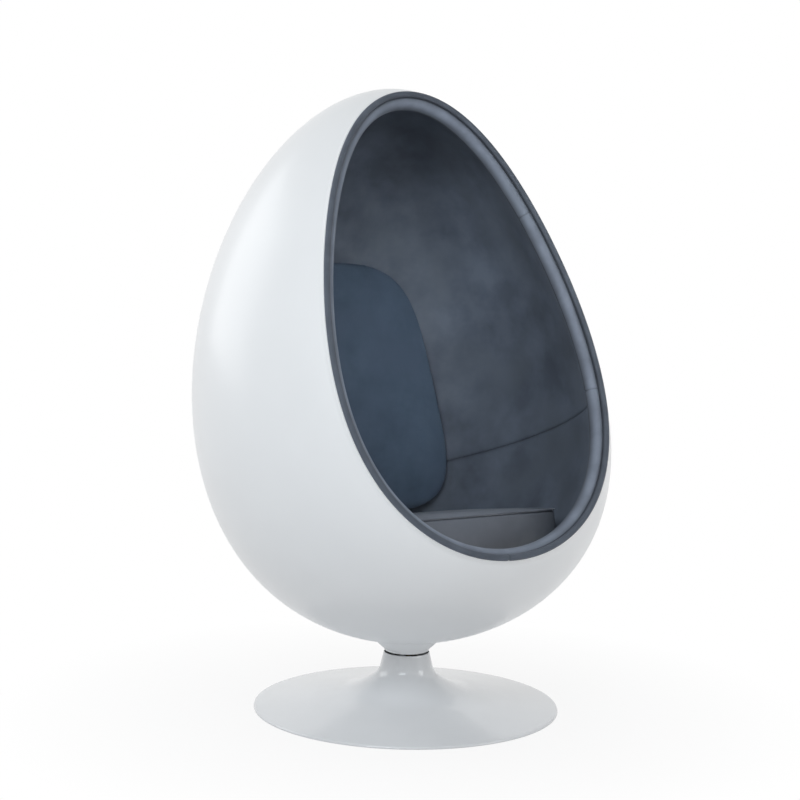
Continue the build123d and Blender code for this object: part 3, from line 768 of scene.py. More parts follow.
@dataclass
class Lining:
    """Foam and suede inside the shell, in an upper and a lower panel that meet at a slanted seam.

    The seam's plane and the mouth's plane meet in a level line across the chair. Both panels are swept by a half
    turn of rays about that line's middle: one angle runs from end to end of the line, the other from the seam to
    the rim. A panel's face dips at its seam as a quarter circle and sinks a little behind the bolster.
    """

    form: PodForm
    mouth: Mouth
    bolster_depth: float = 26.3 * MM
    seam_drop: float = 0.130       # of the seam below the egg's middle, at the swivel's axis
    seam_slope: float = math.radians(21.8)
    face_inset: float = 30.8 * MM
    back_inset: float = 6.8 * MM
    seam_depth: float = 2.0 * MM
    seam_round: float = 9 * MM
    rim_sink: float = 3.5 * MM
    rim_sink_reach: float = 30 * MM
    rim_shade: float = 0.45        # painted shade beside the bolster, in the valley behind it
    rim_shade_reach: float = 45 * MM
    seam_gap: float = 0.15 * MM    # from the seam's plane to either panel
    seam_fade: tuple = (0.01, 0.11)  # from the rim, in which the seam's dip fades out
    wave: float = 1.3 * MM
    wavelengths: tuple = (0.19, 0.07)
    wave_calm: tuple = (0.05, 0.06)  # from the seam and from the rim, in which the waves grow
    pucker: float = 0.7 * MM       # of the cloth beside the seam
    pucker_reach: float = 20 * MM
    pucker_width: float = 35 * MM
    pucker_start: float = 6 * MM   # from the seam, in which the puckers grow
    patch_tone: float = 0.14       # of the nap's small patches
    patch_width: float = 0.13
    fold_shade: float = 0.5        # painted shade at a small crease's bottom, as a share of a seam's
    seed: int = 11
    columns: int = 380
    face_rows: int = 150
    back_rows: int = 24
    crowding: float = 0.88         # of the face's rows towards the seam and the rim
    end: float = 0.012             # angle that is left out at either end of the hinge line
    pocket_radius: float = 0.094   # over the mounting pad, where the lower panel is thin
    pocket_slope: float = 0.02
    pocket_drop: float = 0.3       # of the pocket's highest place below the hinge line
    pocket_inset: float = 31 * MM
    marks: tuple = (
        # start, end, width, depth of the small creases
        ((0.272, 0.140, 1.031), (0.288, 0.108, 1.005), 5 * MM, 3.0 * MM),
        ((0.262, 0.268, 0.791), (0.276, 0.252, 0.773), 6 * MM, 1.5 * MM),
        ((0.283, 0.272, 0.473), (0.272, 0.258, 0.416), 4 * MM, 1.6 * MM),
        ((-0.283, 0.272, 0.473), (-0.272, 0.258, 0.416), 4 * MM, 1.6 * MM),
        ((-0.290, 0.120, 0.976), (-0.300, 0.090, 0.953), 6 * MM, 2.0 * MM),
    )
    broad_patches: tuple = (
        # middle, reach and tone of broad patches of painted light and painted shade
        ((0.18, 0.38, 0.80), 0.30, 0.85),
        ((0.18, 0.18, 1.18), 0.15, -0.30),
        ((0.39, 0.09, 0.72), 0.20, -0.15),
    )

    def __post_init__(self) -> None:
        """Find the line in which the seam's plane meets the plane behind the bolster."""
        rear = self.mouth.centre - self.bolster_depth * self.mouth.out
        self.seam_run = np.array([0.0, math.cos(self.seam_slope), -math.sin(self.seam_slope)])
        seam_point = np.array([0.0, 0.0, self.form.middle[2] - self.seam_drop])
        along = (rear - seam_point) @ self.mouth.out / (self.seam_run @ self.mouth.out)
        self.hinge = seam_point + along * self.seam_run

    def angles(self, side: Side) -> tuple[float, float]:
        """Angles of the panel's seam and rim about the hinge line, from straight back through up."""
        seam = math.atan2(self.seam_run[2], self.seam_run[1]) + self.seam_gap / self.form.radius * side.value
        up = math.atan2(self.mouth.up[2], self.mouth.up[1])
        return seam, up if side is Side.UPPER else up - math.pi

    def build(self, side: Side, name: str, node: str, workshop: Workshop) -> None:
        """Make one panel as a closed pad: its face from the seam to the rim, and its back the other way."""
        seam, rim = self.angles(side)
        face = seam + (rim - seam) * crowded_ends(self.face_rows, self.crowding)
        back = rim + (seam - rim) * np.linspace(0.0, 1.0, self.back_rows)
        turns = np.concatenate((face, back))[None, :]
        sweep = np.linspace(self.end, math.pi - self.end, self.columns)[:, None]
        outwards = np.sin(sweep)
        directions = np.stack(
            np.broadcast_arrays(-np.cos(sweep), outwards * np.cos(turns), outwards * np.sin(turns)), axis=-1
        )
        flat = self.form.reach(self.hinge, directions, self.face_inset)
        places = self.hinge + directions * flat[..., None]
        from_seam, from_rim = (np.abs(turns - edge) * flat * outwards for edge in (seam, rim))
        inset, crease = self.face_profile(places, from_seam, from_rim)
        is_face = np.arange(turns.shape[1])[None] < self.face_rows
        rows = self.form.surface(self.hinge, directions, np.where(is_face, inset, self.rear_inset(places)))
        piece = skin(name, rows, Ends.CAPPED)
        # Painted shade at the seam and in the small creases; painted light and painted shade in broad patches,
        # painted shade beside the bolster, and random tone.
        mark(piece, "crease", np.where(is_face, crease, 0.0))
        mark(piece, "tone_and_painted_light", self.tone_and_painted_light(places) - self.rim_shade * bell(from_rim, self.rim_shade_reach))
        workshop.deliver(piece, LINING_SUEDE, "pod", "cover_suede", node)

    def tone_and_painted_light(self, places: np.ndarray) -> np.ndarray:
        """How much lighter or darker the suede is painted: soft waves of random tone, and broad bell curves of
        painted light and painted shade.
        """
        lightness = self.patch_tone * soft_waves(places, self.patch_width, self.seed + 3)
        for place, reach, tone in self.broad_patches:
            lightness += tone * bell(np.linalg.norm(places - place, axis=-1), reach)
        return lightness

    def rear_inset(self, places: np.ndarray) -> np.ndarray:
        """Depth of a panel's back under the egg's outside, which is more in the pocket over the mounting pad."""
        away = np.hypot(places[..., 0], places[..., 1])
        clear = smooth_step(away, self.pocket_radius, self.pocket_radius + self.pocket_slope)
        low = places[..., 2] < self.hinge[2] - self.pocket_drop
        return self.pocket_inset + (self.back_inset - self.pocket_inset) * np.where(low, clear, 1.0)

    def face_profile(self, places: np.ndarray, from_seam: np.ndarray, from_rim: np.ndarray) -> tuple:
        """Depth of the face under the egg's outside, and how dark its creases are.

        Args:
            places: of the plain face.
            from_seam: distance to the seam.
            from_rim: distance to the bolster.

        Returns:
            The inset and the painted shade of the seam and the creases, from 0 to 1.
        """
        near = np.clip(1.0 - from_seam / self.seam_round, 0.0, 1.0) * smooth_step(from_rim, *self.seam_fade)
        dip = self.seam_depth * (1.0 - np.sqrt(1.0 - near**2))
        sink = self.rim_sink * (1.0 - smooth_step(from_rim, 0.0, self.rim_sink_reach))
        seam_calm, rim_calm = self.wave_calm
        calm = smooth_step(from_seam, 0.0, seam_calm) * smooth_step(from_rim, 0.0, rim_calm)
        long, short = self.wavelengths
        waves = soft_waves(places, long, self.seed) + 0.35 * soft_waves(places, short, self.seed + 1)
        upright = places * (1.0, 1.0, 0.2)
        fading = np.exp(-from_seam / self.pucker_reach) * smooth_step(from_seam, 0.0, self.pucker_start)
        puckers = self.pucker * fading * soft_waves(upright, self.pucker_width, self.seed + 2)
        inset = self.face_inset - dip - sink + self.wave * calm * waves + puckers
        # painted shade at the seam's bottom and in the small creases
        crease = near**2
        for start, end, width, depth in self.marks:
            fold = dent(places, start, end, width)
            inset = inset - depth * fold
            crease = np.maximum(crease, self.fold_shade * fold)
        return inset, crease


# ---------------------------------------------------------------- cushions

VOXEL = 6 * MM                     # size of the even quads of a cushion's mesh
BLOCK = 4000                       # points that are compared with a line at a time


def remeshed(name: str, rows: np.ndarray) -> bpy.types.Object:
    """Make a closed piece of even small quads from rows of points, by a voxel remesh of their skin."""
    rough = skin(name + "_rough", rows, Ends.CAPPED)
    rough.modifiers.new("even", "REMESH").voxel_size = VOXEL
    bpy.context.view_layer.update()
    mesh = bpy.data.meshes.new_from_object(rough.evaluated_get(bpy.context.evaluated_depsgraph_get()))
    mesh.name = name
    bpy.data.objects.remove(rough)
    mesh.polygons.foreach_set("use_smooth", np.ones(len(mesh.polygons), bool))
    piece = bpy.data.objects.new(name, mesh)
    bpy.context.scene.collection.objects.link(piece)
    return piece


def nearest(points: np.ndarray, line: np.ndarray) -> np.ndarray:
    """Distance from each point to the nearest of a closed line's close-set points, in blocks to save memory."""
    blocks = np.array_split(points, max(1, len(points) // BLOCK))
    distances = [np.linalg.norm(block[:, None] - line[None], axis=-1).min(axis=1) for block in blocks]
    return np.concatenate(distances)


@dataclass
class Inflation:
    """Blows a cushion up as cloth held along its seams, then limits how far each point may have moved."""

    pressure: float = 4.0
    frames: int = 20
    cap: float = 10 * MM
    held: float = 5 * MM           # points this near to a seam stay
    free: float = 16 * MM          # and those further than this move freely
    pin_levels: int = 10           # of the weights between
    still: float = 1e-9            # keeps a point that hasn't moved from dividing by zero

    def blow(self, piece: bpy.types.Object, seam_distance: np.ndarray) -> None:
        """Run the cloth and write its result, drawn in by a hyperbolic tangent of its length, to the mesh.

        Args:
            piece: a closed mesh object at the origin.
            seam_distance: of each vertex.
        """
        start = vertex_places(piece.data)
        pins = 1.0 - smooth_step(seam_distance, self.held, self.free)
        group = piece.vertex_groups.new(name="seams")
        step = 1.0 / self.pin_levels
        for level in np.linspace(step, 1.0, self.pin_levels):
            chosen = np.flatnonzero((pins > level - step) & (pins <= level))
            group.add([int(number) for number in chosen], float(level), "REPLACE")
        cloth = piece.modifiers.new("cloth", "CLOTH")
        cloth.settings.vertex_group_mass = "seams"
        cloth.settings.use_pressure = True
        cloth.settings.uniform_pressure_force = self.pressure
        cloth.settings.effector_weights.gravity = 0.0
        cloth.settings.quality = 5
        cloth.point_cache.frame_start = 1
        cloth.point_cache.frame_end = self.frames
        scene = bpy.context.scene
        for frame_number in range(1, self.frames + 1):
            scene.frame_set(frame_number)
        blown = piece.evaluated_get(bpy.context.evaluated_depsgraph_get())
        moved = vertex_places(blown.data) - start
        piece.modifiers.remove(cloth)
        piece.vertex_groups.remove(group)
        scene.frame_set(1)
        length = np.linalg.norm(moved, axis=-1, keepdims=True) + self.still
        moved *= self.cap * np.tanh(length / self.cap) / length
        set_vertex_places(piece.data, start + moved)
        LOG.info("%s blown up by at most %.1f mm", piece.name, np.linalg.norm(moved, axis=-1).max() / MM)


def sewn(name: str, rows: np.ndarray, seam: np.ndarray, inflation: Inflation) -> tuple:
    """Args:
        name: of the piece.
        rows: of points of its first shape.
        seam: points along its seams.
        inflation: of the cover.

    Returns:
        The piece, its vertices and their distances from the seams.
    """
    piece = remeshed(name, rows)
    places = vertex_places(piece.data)
    distance = nearest(places, seam)
    inflation.blow(piece, distance)
    places = vertex_places(piece.data)
    return piece, places, distance


def settle(piece: bpy.types.Object, places: np.ndarray, crease: np.ndarray) -> None:
    """Write a cushion's last shape and the painted shade along its seams, and smooth its mesh."""
    set_vertex_places(piece.data, places)
    piece.modifiers.new("fine", "SUBSURF").render_levels = 1
    mark(piece, "crease", crease)


def kept_inside(form: PodForm, centre: np.ndarray, places: np.ndarray, inset: float) -> np.ndarray:
    """Pull points that stand out of the hollow back along their rays from the centre."""
    away = places - centre
    length = np.linalg.norm(away, axis=-1)
    directions = away / length[..., None]
    limit = form.reach(centre, directions, inset)
    return centre + directions * np.minimum(length, limit)[..., None]


def rounded_outline(turn: np.ndarray, lines: list, power: np.ndarray) -> np.ndarray:
    """Reach of a rounded polygon from its middle: the power mean of the reaches of its straight sides.

    Args:
        turn: direction of each ray, from local x towards local y.
        lines: for each side, the direction of its normal and its distance from the middle.
        power: higher keeps the corners sharper.
    """
    total = sum((np.clip(np.cos(turn - facing), 0.0, None) / distance) ** power for facing, distance in lines)
    return np.maximum(total, TINY) ** (-1.0 / power)


@dataclass
class SeatCushion:
    """A boxed seat cushion: a flat front, flared sides and a full back, with slim piping along both edges."""

    form: PodForm
    edge_height: float = 0.4279
    edge_forward: float = 0.182
    tilt: float = math.radians(9.0)
    thickness: float = 0.104
    half_front: float = 0.265
    flare: float = math.radians(20.0)
    middle_back: float = 0.235     # of the plan's middle behind the front edge
    corner_power: float = 11.0
    inset: float = 31.8 * MM
    seam_drop: float = 3 * MM      # of the top piping below the top's plane
    seam_pull: float = 3 * MM      # of the piping behind the front
    belly: float = 3 * MM          # of the front's middle in front of the piping
    crown: float = 3 * MM          # of the top's middle above the piping
    piping: float = 2.0 * MM
    piping_sides: int = 10
    most_crown: float = 4.5 * MM   # of the blown-up top above its plane, under the back cushion
    wave: float = 1.2 * MM
    wavelength: float = 0.16
    wave_start: tuple = (0.01, 0.07)  # from the seam, in which the waves grow
    wave_seed: int = 21
    seam_shade: float = 0.25
    seam_shade_reach: float = 4 * MM
    innermost: float = 0.08        # shares of the outline at the first and the last row of the top and bottom
    outermost: float = 0.97
    bottom_rows: int = 14
    side_rows: int = 18
    top_rows: int = 20
    columns: int = 360
    inflation: Inflation = field(default_factory=lambda: Inflation(cap=7 * MM, held=4 * MM, free=22 * MM))

    def __post_init__(self) -> None:
        """Work out the seat plane's axes."""
        self.back = np.array([0.0, math.cos(self.tilt), -math.sin(self.tilt)])
        self.up = np.array([0.0, math.sin(self.tilt), math.cos(self.tilt)])
        self.middle = np.array([0.0, -self.edge_forward, self.edge_height]) + self.middle_back * self.back

    def outline(self, turn: np.ndarray, rise: float) -> np.ndarray:
        """Reach of the plan from its middle at this height over the top's plane."""
        power = self.corner_power
        side = (self.half_front + self.middle_back * math.tan(self.flare)) * math.cos(self.flare)
        lines = [(-math.pi / 2.0, self.middle_back), (-self.flare, side), (math.pi + self.flare, side)]
        wall = self.form.reach(self.middle + rise * self.up, spoke(turn, ACROSS, self.back), self.inset)
        return (rounded_outline(turn, lines, power) ** -power + wall**-power) ** (-1.0 / power)

    def ring(self, rise: float, pull: float, share: float = 1.0) -> np.ndarray:
        """One closed row of the cushion: the outline at a height, drawn in by a pull and scaled by a share."""
        turn = full_turn(self.columns)
        reach = (self.outline(turn, rise) - pull) * share
        return self.middle + rise * self.up + reach[:, None] * spoke(turn, ACROSS, self.back)

    def rows(self, bottom: float, top: float) -> np.ndarray:
        """The first shape: a flat bottom, sides that belly out and a crowned top, between two heights."""
        pull, inner, outer = self.seam_pull, self.innermost, self.outermost
        rows = [self.ring(bottom, pull, share) for share in np.linspace(inner, outer, self.bottom_rows)]
        for share in np.linspace(0.0, 1.0, self.side_rows):
            bulge = self.belly * math.sin(math.pi * share)
            rows.append(self.ring(bottom + (top - bottom) * share, pull - bulge))
        for share in np.linspace(outer, inner, self.top_rows):
            rows.append(self.ring(top + self.crown * (1.0 - share**3), pull, share))
        return np.stack(rows)

    def build(self, workshop: Workshop) -> None:
        """Make the cushion and its two pipings."""
        top, bottom = -self.seam_drop, self.seam_drop - self.thickness
        seam = np.concatenate([self.ring(rise, self.seam_pull) for rise in (top, bottom)])
        piece, places, distance = sewn("seat_cushion_cover", self.rows(bottom, top), seam, self.inflation)
        waves = smooth_step(distance, *self.wave_start) * soft_waves(places, self.wavelength, self.wave_seed)
        places = self.rested(places + self.wave * waves[:, None] * self.up)
        # painted shade along the seams
        settle(piece, places, self.seam_shade * bell(distance, self.seam_shade_reach))
        workshop.deliver(piece, SEAT_SUEDE, "pod", "cushion_suede", "seat_cushion")
        for name, rise in (("seat_piping_top", top), ("seat_piping_bottom", bottom)):
            self.build_piping(name, rise, workshop)

    def rested(self, places: np.ndarray) -> np.ndarray:
        """Keep the cushion in the hollow, on its board and under the back cushion."""
        places = kept_inside(self.form, self.middle - self.thickness / 2.0 * self.up, places, self.inset)
        rise = (places - self.middle) @ self.up
        limited = np.clip(rise, -self.thickness, self.most_crown)
        return places + (limited - rise)[:, None] * self.up

    def build_piping(self, name: str, rise: float, workshop: Workshop) -> None:
        """Carry a small circle round an edge of the cushion."""
        line = self.ring(rise, self.seam_pull)
        outwards = unit(line - (self.middle + rise * self.up))
        circle = self.piping * spoke(full_turn(self.piping_sides), outwards[:, None], self.up)
        piece = skin(name, line[:, None] + circle, Ends.LOOP)
        workshop.deliver(piece, PIPING_SUEDE, "pod", "cushion_suede")


@dataclass
class BackCushion:
    """A knife-edged back pillow, leaning on the lining and standing on the seat.

    Its outline is a rounded trapezoid in the plane of its edge seam. In front of the plane it is crowned as a
    quarter ellipse with a flat middle, and behind it is deeper, up to the lining.
    """

    form: PodForm
    seat: SeatCushion
    foot_back: float = 0.250
    foot_rise: float = 5.5 * MM
    lean: float = math.radians(12.0)
    height: float = 0.566
    half_foot: float = 0.294
    half_head: float = 0.212
    middle_rise: float = 0.270
    foot_power: float = 4.0
    head_power: float = 4.2
    front_crown: float = 0.034
    rear_crown: float = 0.100
    crown_reach: float = 0.60      # share of the outline's reach in which the crown rises
    clear: float = 5 * MM          # above the seat's plane
    wave: float = 1.6 * MM
    wavelength: float = 0.17
    wave_start: tuple = (0.005, 0.09)  # from the seam, in which the waves grow
    wave_seed: int = 31
    seam_shade: float = 0.35
    seam_shade_reach: float = 3 * MM
    rows: int = 26
    crowding: float = 0.5          # of the rows towards the edge and the middle
    span: float = 0.94             # share of the outline that the rows cover, from its edge
    inset: float = 31.8 * MM
    columns: int = 360
    inflation: Inflation = field(default_factory=lambda: Inflation(cap=9 * MM, held=3 * MM, free=30 * MM))

    def __post_init__(self) -> None:
        """Work out the axes of the edge seam's plane."""
        drop = (self.seat.edge_forward + self.foot_back) * math.tan(self.seat.tilt)
        self.foot = np.array([0.0, self.foot_back, self.seat.edge_height - drop + self.foot_rise])
        self.up = np.array([0.0, math.sin(self.lean), math.cos(self.lean)])
        self.front = np.array([0.0, -math.cos(self.lean), math.sin(self.lean)])
        self.middle = self.foot + self.middle_rise * self.up

    def outline(self, turn: np.ndarray) -> np.ndarray:
        """Reach of the edge seam from the middle, never past the lining."""
        slope = math.atan2(self.half_foot - self.half_head, self.height)
        half = self.half_foot + (self.half_head - self.half_foot) * self.middle_rise / self.height
        lines = [
            (-math.pi / 2.0, self.middle_rise),
            (math.pi / 2.0, self.height - self.middle_rise),
            (slope, half * math.cos(slope)),
            (math.pi - slope, half * math.cos(slope)),
        ]
        power = self.foot_power + (self.head_power - self.foot_power) * smooth_step(np.sin(turn), -0.3, 0.3)
        wall = self.form.reach(self.middle, spoke(turn, ACROSS, self.up), self.inset)
        return np.minimum(rounded_outline(turn, lines, power), wall)

    def ring(self, share: float, depth: float) -> np.ndarray:
        """One closed row: the outline scaled by a share, raised by a quarter ellipse of that share."""
        turn = full_turn(self.columns)
        inwards = min(1.0, (1.0 - share) / self.crown_reach)
        rise = depth * math.sqrt(1.0 - (1.0 - inwards) ** 2)
        reach = (self.outline(turn) * share)[:, None]
        return self.middle + reach * spoke(turn, ACROSS, self.up) + rise * self.front

    def build(self, workshop: Workshop) -> None:
        """Make the pillow."""
        shares = 1.0 - crowded_ends(self.rows, self.crowding) * self.span
        front = [self.ring(share, self.front_crown) for share in shares[::-1]]
        rear = [self.ring(share, -self.rear_crown) for share in shares[1:]]
        rows = kept_inside(self.form, self.middle, np.stack(front + rear), self.inset)
        piece, places, distance = sewn("back_cushion_cover", rows, self.ring(1.0, 0.0), self.inflation)
        waves = smooth_step(distance, *self.wave_start) * soft_waves(places, self.wavelength, self.wave_seed)
        places = places + self.wave * waves[:, None] * self.front
        places = kept_inside(self.form, self.middle, places, self.inset)
        over_seat = (places - self.seat.middle) @ self.seat.up
        places += np.clip(self.clear - over_seat, 0.0, None)[:, None] * self.seat.up
        # painted shade along the seam
        settle(piece, places, self.seam_shade * bell(distance, self.seam_shade_reach))
        workshop.deliver(piece, CUSHION_SUEDE, "pod", "cushion_suede", "back_cushion")


@dataclass
class SeatFiller:
    """The foam block in the egg's bottom: its rays end at the lining, the board or behind the bolster."""

    form: PodForm
    mouth: Mouth
    lining: Lining
    seat: SeatCushion
    board: float = 15.6 * MM       # the board with a gap on each side
    clear: float = 0.5 * MM        # under the board
    rear_clear: float = 1 * MM     # behind the bolster
    middle: tuple = (0.0, 0.03, 0.09)  # of the rays, with its height above the egg's bottom
    end: float = 0.03              # angle that is left out at the top and the bottom
    inset: float = 32 * MM
    edge_power: float = 24.0
    columns: int = 120
    rows: int = 60

    def build(self, workshop: Workshop) -> None:
        """Make the block: the power mean of the three reaches rounds its edges."""
        top = self.seat.middle - (self.seat.thickness + self.board + self.clear) * self.seat.up
        centre = np.array([0.0, 0.0, float(self.form.bottom)]) + self.middle
        tip = np.linspace(self.end, math.pi - self.end, self.rows)[:, None]
        directions = level_circle(np.sin(tip), full_turn(self.columns)[None], np.cos(tip))
        wall = self.form.reach(centre, directions, self.inset)
        rear = self.mouth.centre - (self.lining.bolster_depth + self.rear_clear) * self.mouth.out
        total = wall ** -self.edge_power
        for point, facing in ((top, self.seat.up), (rear, self.mouth.out)):
            total += (np.clip(directions @ facing, 0.0, None) / ((point - centre) @ facing)) ** self.edge_power
        reach = total ** (-1.0 / self.edge_power)
        piece = skin("seat_filler_foam", centre + directions * reach[..., None], Ends.CAPPED)
        workshop.deliver(piece, FOAM, "pod", "filler_foam", "seat_filler")


# ---------------------------------------------------------------- base and collar

def arc(start: tuple, heading: float, radius: float, turn: float, count: int) -> tuple[np.ndarray, float]:
    """Points of a flat arc that leaves its start along its heading.

    Args:
        start: of the arc, as radius and height.
        heading: degrees down from level at the start.
        radius: of the arc.
        turn: degrees that the heading grows by, or falls by if negative.
        count: of the points after the start.

    Returns:
        The points, and the heading at the end.
    """
    headings = np.radians(heading + turn * np.arange(1, count + 1) / count)
    first = math.radians(heading)
    side = math.copysign(radius, turn)
    across = start[0] + side * (np.sin(headings) - math.sin(first))
    down = start[1] + side * (np.cos(headings) - math.cos(first))
    return np.stack((across, down), axis=-1), heading + turn


@dataclass
class TrumpetBase:
    """The spun steel base: rolled rim, shallow dish, two arcs and a straight neck with a rounded top."""

    top: float
    radius: float
    foot: float                    # height of the rim's lower edge
    wall: float = 3 * MM
    neck_radius: float = 47.8 * MM
    neck_rise: float = 27.9 * MM
    neck_slope: float = 76.9
    neck_round: float = 1.4 * MM
    flare_radius: float = 40 * MM
    flare_heading: float = 35.0
    sweep_radius: float = 200 * MM
    dish_heading: float = 9.0
    rim_radius: float = 4 * MM
    lip_widening: float = 0.45 * MM  # of the bore at the neck's top
    lip_rows: int = 6
    neck_rows: int = 8
    flare_rows: int = 14
    sweep_rows: int = 18
    dish_rows: int = 16
    rim_rows: int = 12
    columns: int = 320

    def profile(self) -> np.ndarray:
        """Closed section of the wall: its outer side downwards, then its inner side upwards."""
        slope = math.radians(self.neck_slope)
        down_neck = np.array([math.cos(slope), -math.sin(slope)])
        outwards = np.array([math.sin(slope), math.cos(slope)])
        lip = np.array([self.neck_radius, self.top])
        turn = np.linspace(0.0, 1.0, self.lip_rows) * math.pi / 2.0
        round_middle = lip + down_neck * self.neck_round - outwards * self.neck_round
        rounded = round_middle + self.neck_round * spoke(turn, -down_neck, outwards)
        length = self.neck_rise / math.sin(slope)
        neck = lip + down_neck * np.linspace(self.neck_round, length, self.neck_rows)[1:, None]
        opening = self.flare_heading - self.neck_slope
        flare, heading = arc(neck[-1], self.neck_slope, self.flare_radius, opening, self.flare_rows)
        opening = self.dish_heading - heading
        sweep, heading = arc(flare[-1], heading, self.sweep_radius, opening, self.sweep_rows)
        edge_reach = self.radius - self.rim_radius * (1.0 - math.sin(math.radians(heading)))
        run = np.linspace(0.0, edge_reach - sweep[-1, 0], self.dish_rows)[1:, None]
        dish = sweep[-1] + run * (1.0, -math.tan(math.radians(heading)))
        rim, _ = arc(dish[-1], heading, self.rim_radius, 90.0 - heading, self.rim_rows)
        outer = np.concatenate((rounded, neck, flare, sweep, dish, rim, [(rim[-1, 0], self.foot)]))
        along = np.gradient(outer, axis=0)
        inner = outer + self.wall * unit(np.stack((along[:, 1], -along[:, 0]), axis=-1))
        inner[-1] = (outer[-1, 0] - self.wall, self.foot)
        self.open_bore(inner)
        return np.concatenate((outer, inner[::-1]))

    def open_bore(self, inner: np.ndarray) -> None:
        """Replace the first points of the inner side, beside the rounded lip, by a bore that widens upwards."""
        count = self.lip_rows
        inner[:count, 0] = inner[count, 0] + self.lip_widening * np.linspace(1.0, 0.0, count)
        inner[:count, 1] = np.linspace(self.top, inner[count, 1], count + 1)[:count]

    def build(self, workshop: Workshop) -> None:
        """Turn the section about the swivel's axis."""
        section = self.profile()
        rows = level_circle(section[:, 0], full_turn(self.columns)[:, None], section[:, 1])
        piece = skin("base_spinning", rows, Ends.LOOP)
        workshop.deliver(piece, ENAMEL, "base", "base_enamel", "base_dish")


@dataclass
class Collar:
    """The short taper under the egg: a rounded foot, a recess for the plate and a top that fits the egg."""

    form: PodForm
    foot_height: float
    foot_radius: float = 47.5 * MM
    top_radius: float = 71 * MM
    foot_round: float = 5.5 * MM
    bow: float = 1.2 * MM
    recess_radius: float = 41.3 * MM
    recess_depth: float = 6.3 * MM
    gap: float = 0.3 * MM          # under the egg
    hub: float = 1 * MM            # radius of the rows beside the axis
    seat_edge: float = 2 * MM      # from the top's edge to the first row of the seat
    round_rows: int = 6
    side_rows: int = 14
    seat_rows: int = 12
    columns: int = 256

    def underside(self, radius: float, turn: np.ndarray) -> np.ndarray:
        """Height of the egg's underside over each place, found by rays that run down from inside it."""
        start = self.form.middle[2]
        origins = level_circle(radius, turn, start)
        down = np.broadcast_to(np.array([0.0, 0.0, -1.0]), origins.shape)
        return start - self.form.reach(origins, down, -self.gap)

    def build(self, workshop: Workshop) -> None:
        """Make the collar: its recess, foot, bowed side and the seat of the egg, from axis to axis."""
        turn = full_turn(self.columns)
        foot, recess = self.foot_height, self.foot_height + self.recess_depth
        quarter = np.linspace(0.0, math.pi / 2.0, self.round_rows)
        across = self.foot_radius - self.foot_round * (1.0 - np.sin(quarter))
        height = foot + self.foot_round * (1.0 - np.cos(quarter))
        under = [(self.hub, recess), (self.recess_radius, recess), (self.recess_radius, foot)]
        under += zip(across, height)
        rows = [level_circle(radius, turn, rise) for radius, rise in under]
        low, top = height[-1], self.underside(self.top_radius, turn)
        for share in np.linspace(0.0, 1.0, self.side_rows)[1:]:
            radius = self.foot_radius + (self.top_radius - self.foot_radius) * share
            radius += self.bow * math.sin(math.pi * share)
            rows.append(level_circle(radius, turn, low + (top - low) * share))
        for radius in np.linspace(self.top_radius - self.seat_edge, self.hub, self.seat_rows):
            rows.append(level_circle(radius, turn, self.underside(radius, turn)))
        piece = skin("collar_moulding", np.stack(rows), Ends.CAPPED)
        workshop.deliver(piece, GELCOAT, "pod", "shell_gelcoat", "swivel_collar")


# ---------------------------------------------------------------- studio

@dataclass
class PhotoCamera:
    """The camera of the photograph, as fitted to the chair's outlines."""

    distance: float = 3.548        # from the swivel's axis, along the floor
    height: float = 0.974
    turn: float = 0.5636           # of the chair about its axis, in radians
    yaw: float = -0.0068
    pitch: float = 0.0932          # downwards
    roll: float = -0.0196
    focal: float = 1729.69 / 800.0  # as a share of the picture's width
    sensor: float = 36.0

    def build(self) -> None:
        """Place the camera by its right, up and backward directions, turned back by the chair's own turn."""
        cy, sy, cp, sp = math.cos(self.yaw), math.sin(self.yaw), math.cos(self.pitch), math.sin(self.pitch)
        level_right = Vector((cy, -sy, 0.0))
        level_up = Vector((sp * sy, sp * cy, cp))
        forward = Vector((cp * sy, cp * cy, -sp))
        right = math.cos(self.roll) * level_right - math.sin(self.roll) * level_up
        up = math.sin(self.roll) * level_right + math.cos(self.roll) * level_up
        chair = Matrix.Rotation(-self.turn, 3, "Z")
        axes = Matrix((chair @ right, chair @ up, chair @ -forward)).transposed().to_4x4()
        place = chair @ Vector((0.0, -self.distance, self.height))
        data = bpy.data.cameras.new("photo_camera")
        data.sensor_width = self.sensor
        data.lens = self.focal * self.sensor
        camera = bpy.data.objects.new("photo_camera", data)
        camera.matrix_world = Matrix.Translation(place) @ axes
        bpy.context.scene.collection.objects.link(camera)
        bpy.context.scene.camera = camera


@dataclass(frozen=True)
class SoftBox:
    """A rectangular studio lamp that faces the chair."""

    name: str
    azimuth: float                 # degrees round the chair from straight in front, towards the camera's right
    height: float
    distance: float
    width: float
    depth: float
    power: float
    colour: str = "#ffffff"
    aim: tuple = (0.0, 0.0, 0.7)
    spread: float = 180.0          # degrees in which the lamp's grid lets its light out
    mirrored: bool = True          # whether glossy surfaces show it

    def build(self) -> None:
        """Place the lamp on its circle and turn it to its aim."""
        data = bpy.data.lights.new(self.name, "AREA")
        data.shape = "RECTANGLE"
        data.size, data.size_y = self.width, self.depth
        data.energy = self.power
        data.color = linear(self.colour)[:3]
        data.spread = math.radians(self.spread)
        lamp = bpy.data.objects.new(self.name, data)
        angle = math.radians(self.azimuth)
        lamp.location = (self.distance * math.sin(angle), -self.distance * math.cos(angle), self.height)
        lamp.rotation_euler = (Vector(self.aim) - lamp.location).to_track_quat("-Z", "Y").to_euler()
        lamp.visible_glossy = self.mirrored
        bpy.context.scene.collection.objects.link(lamp)


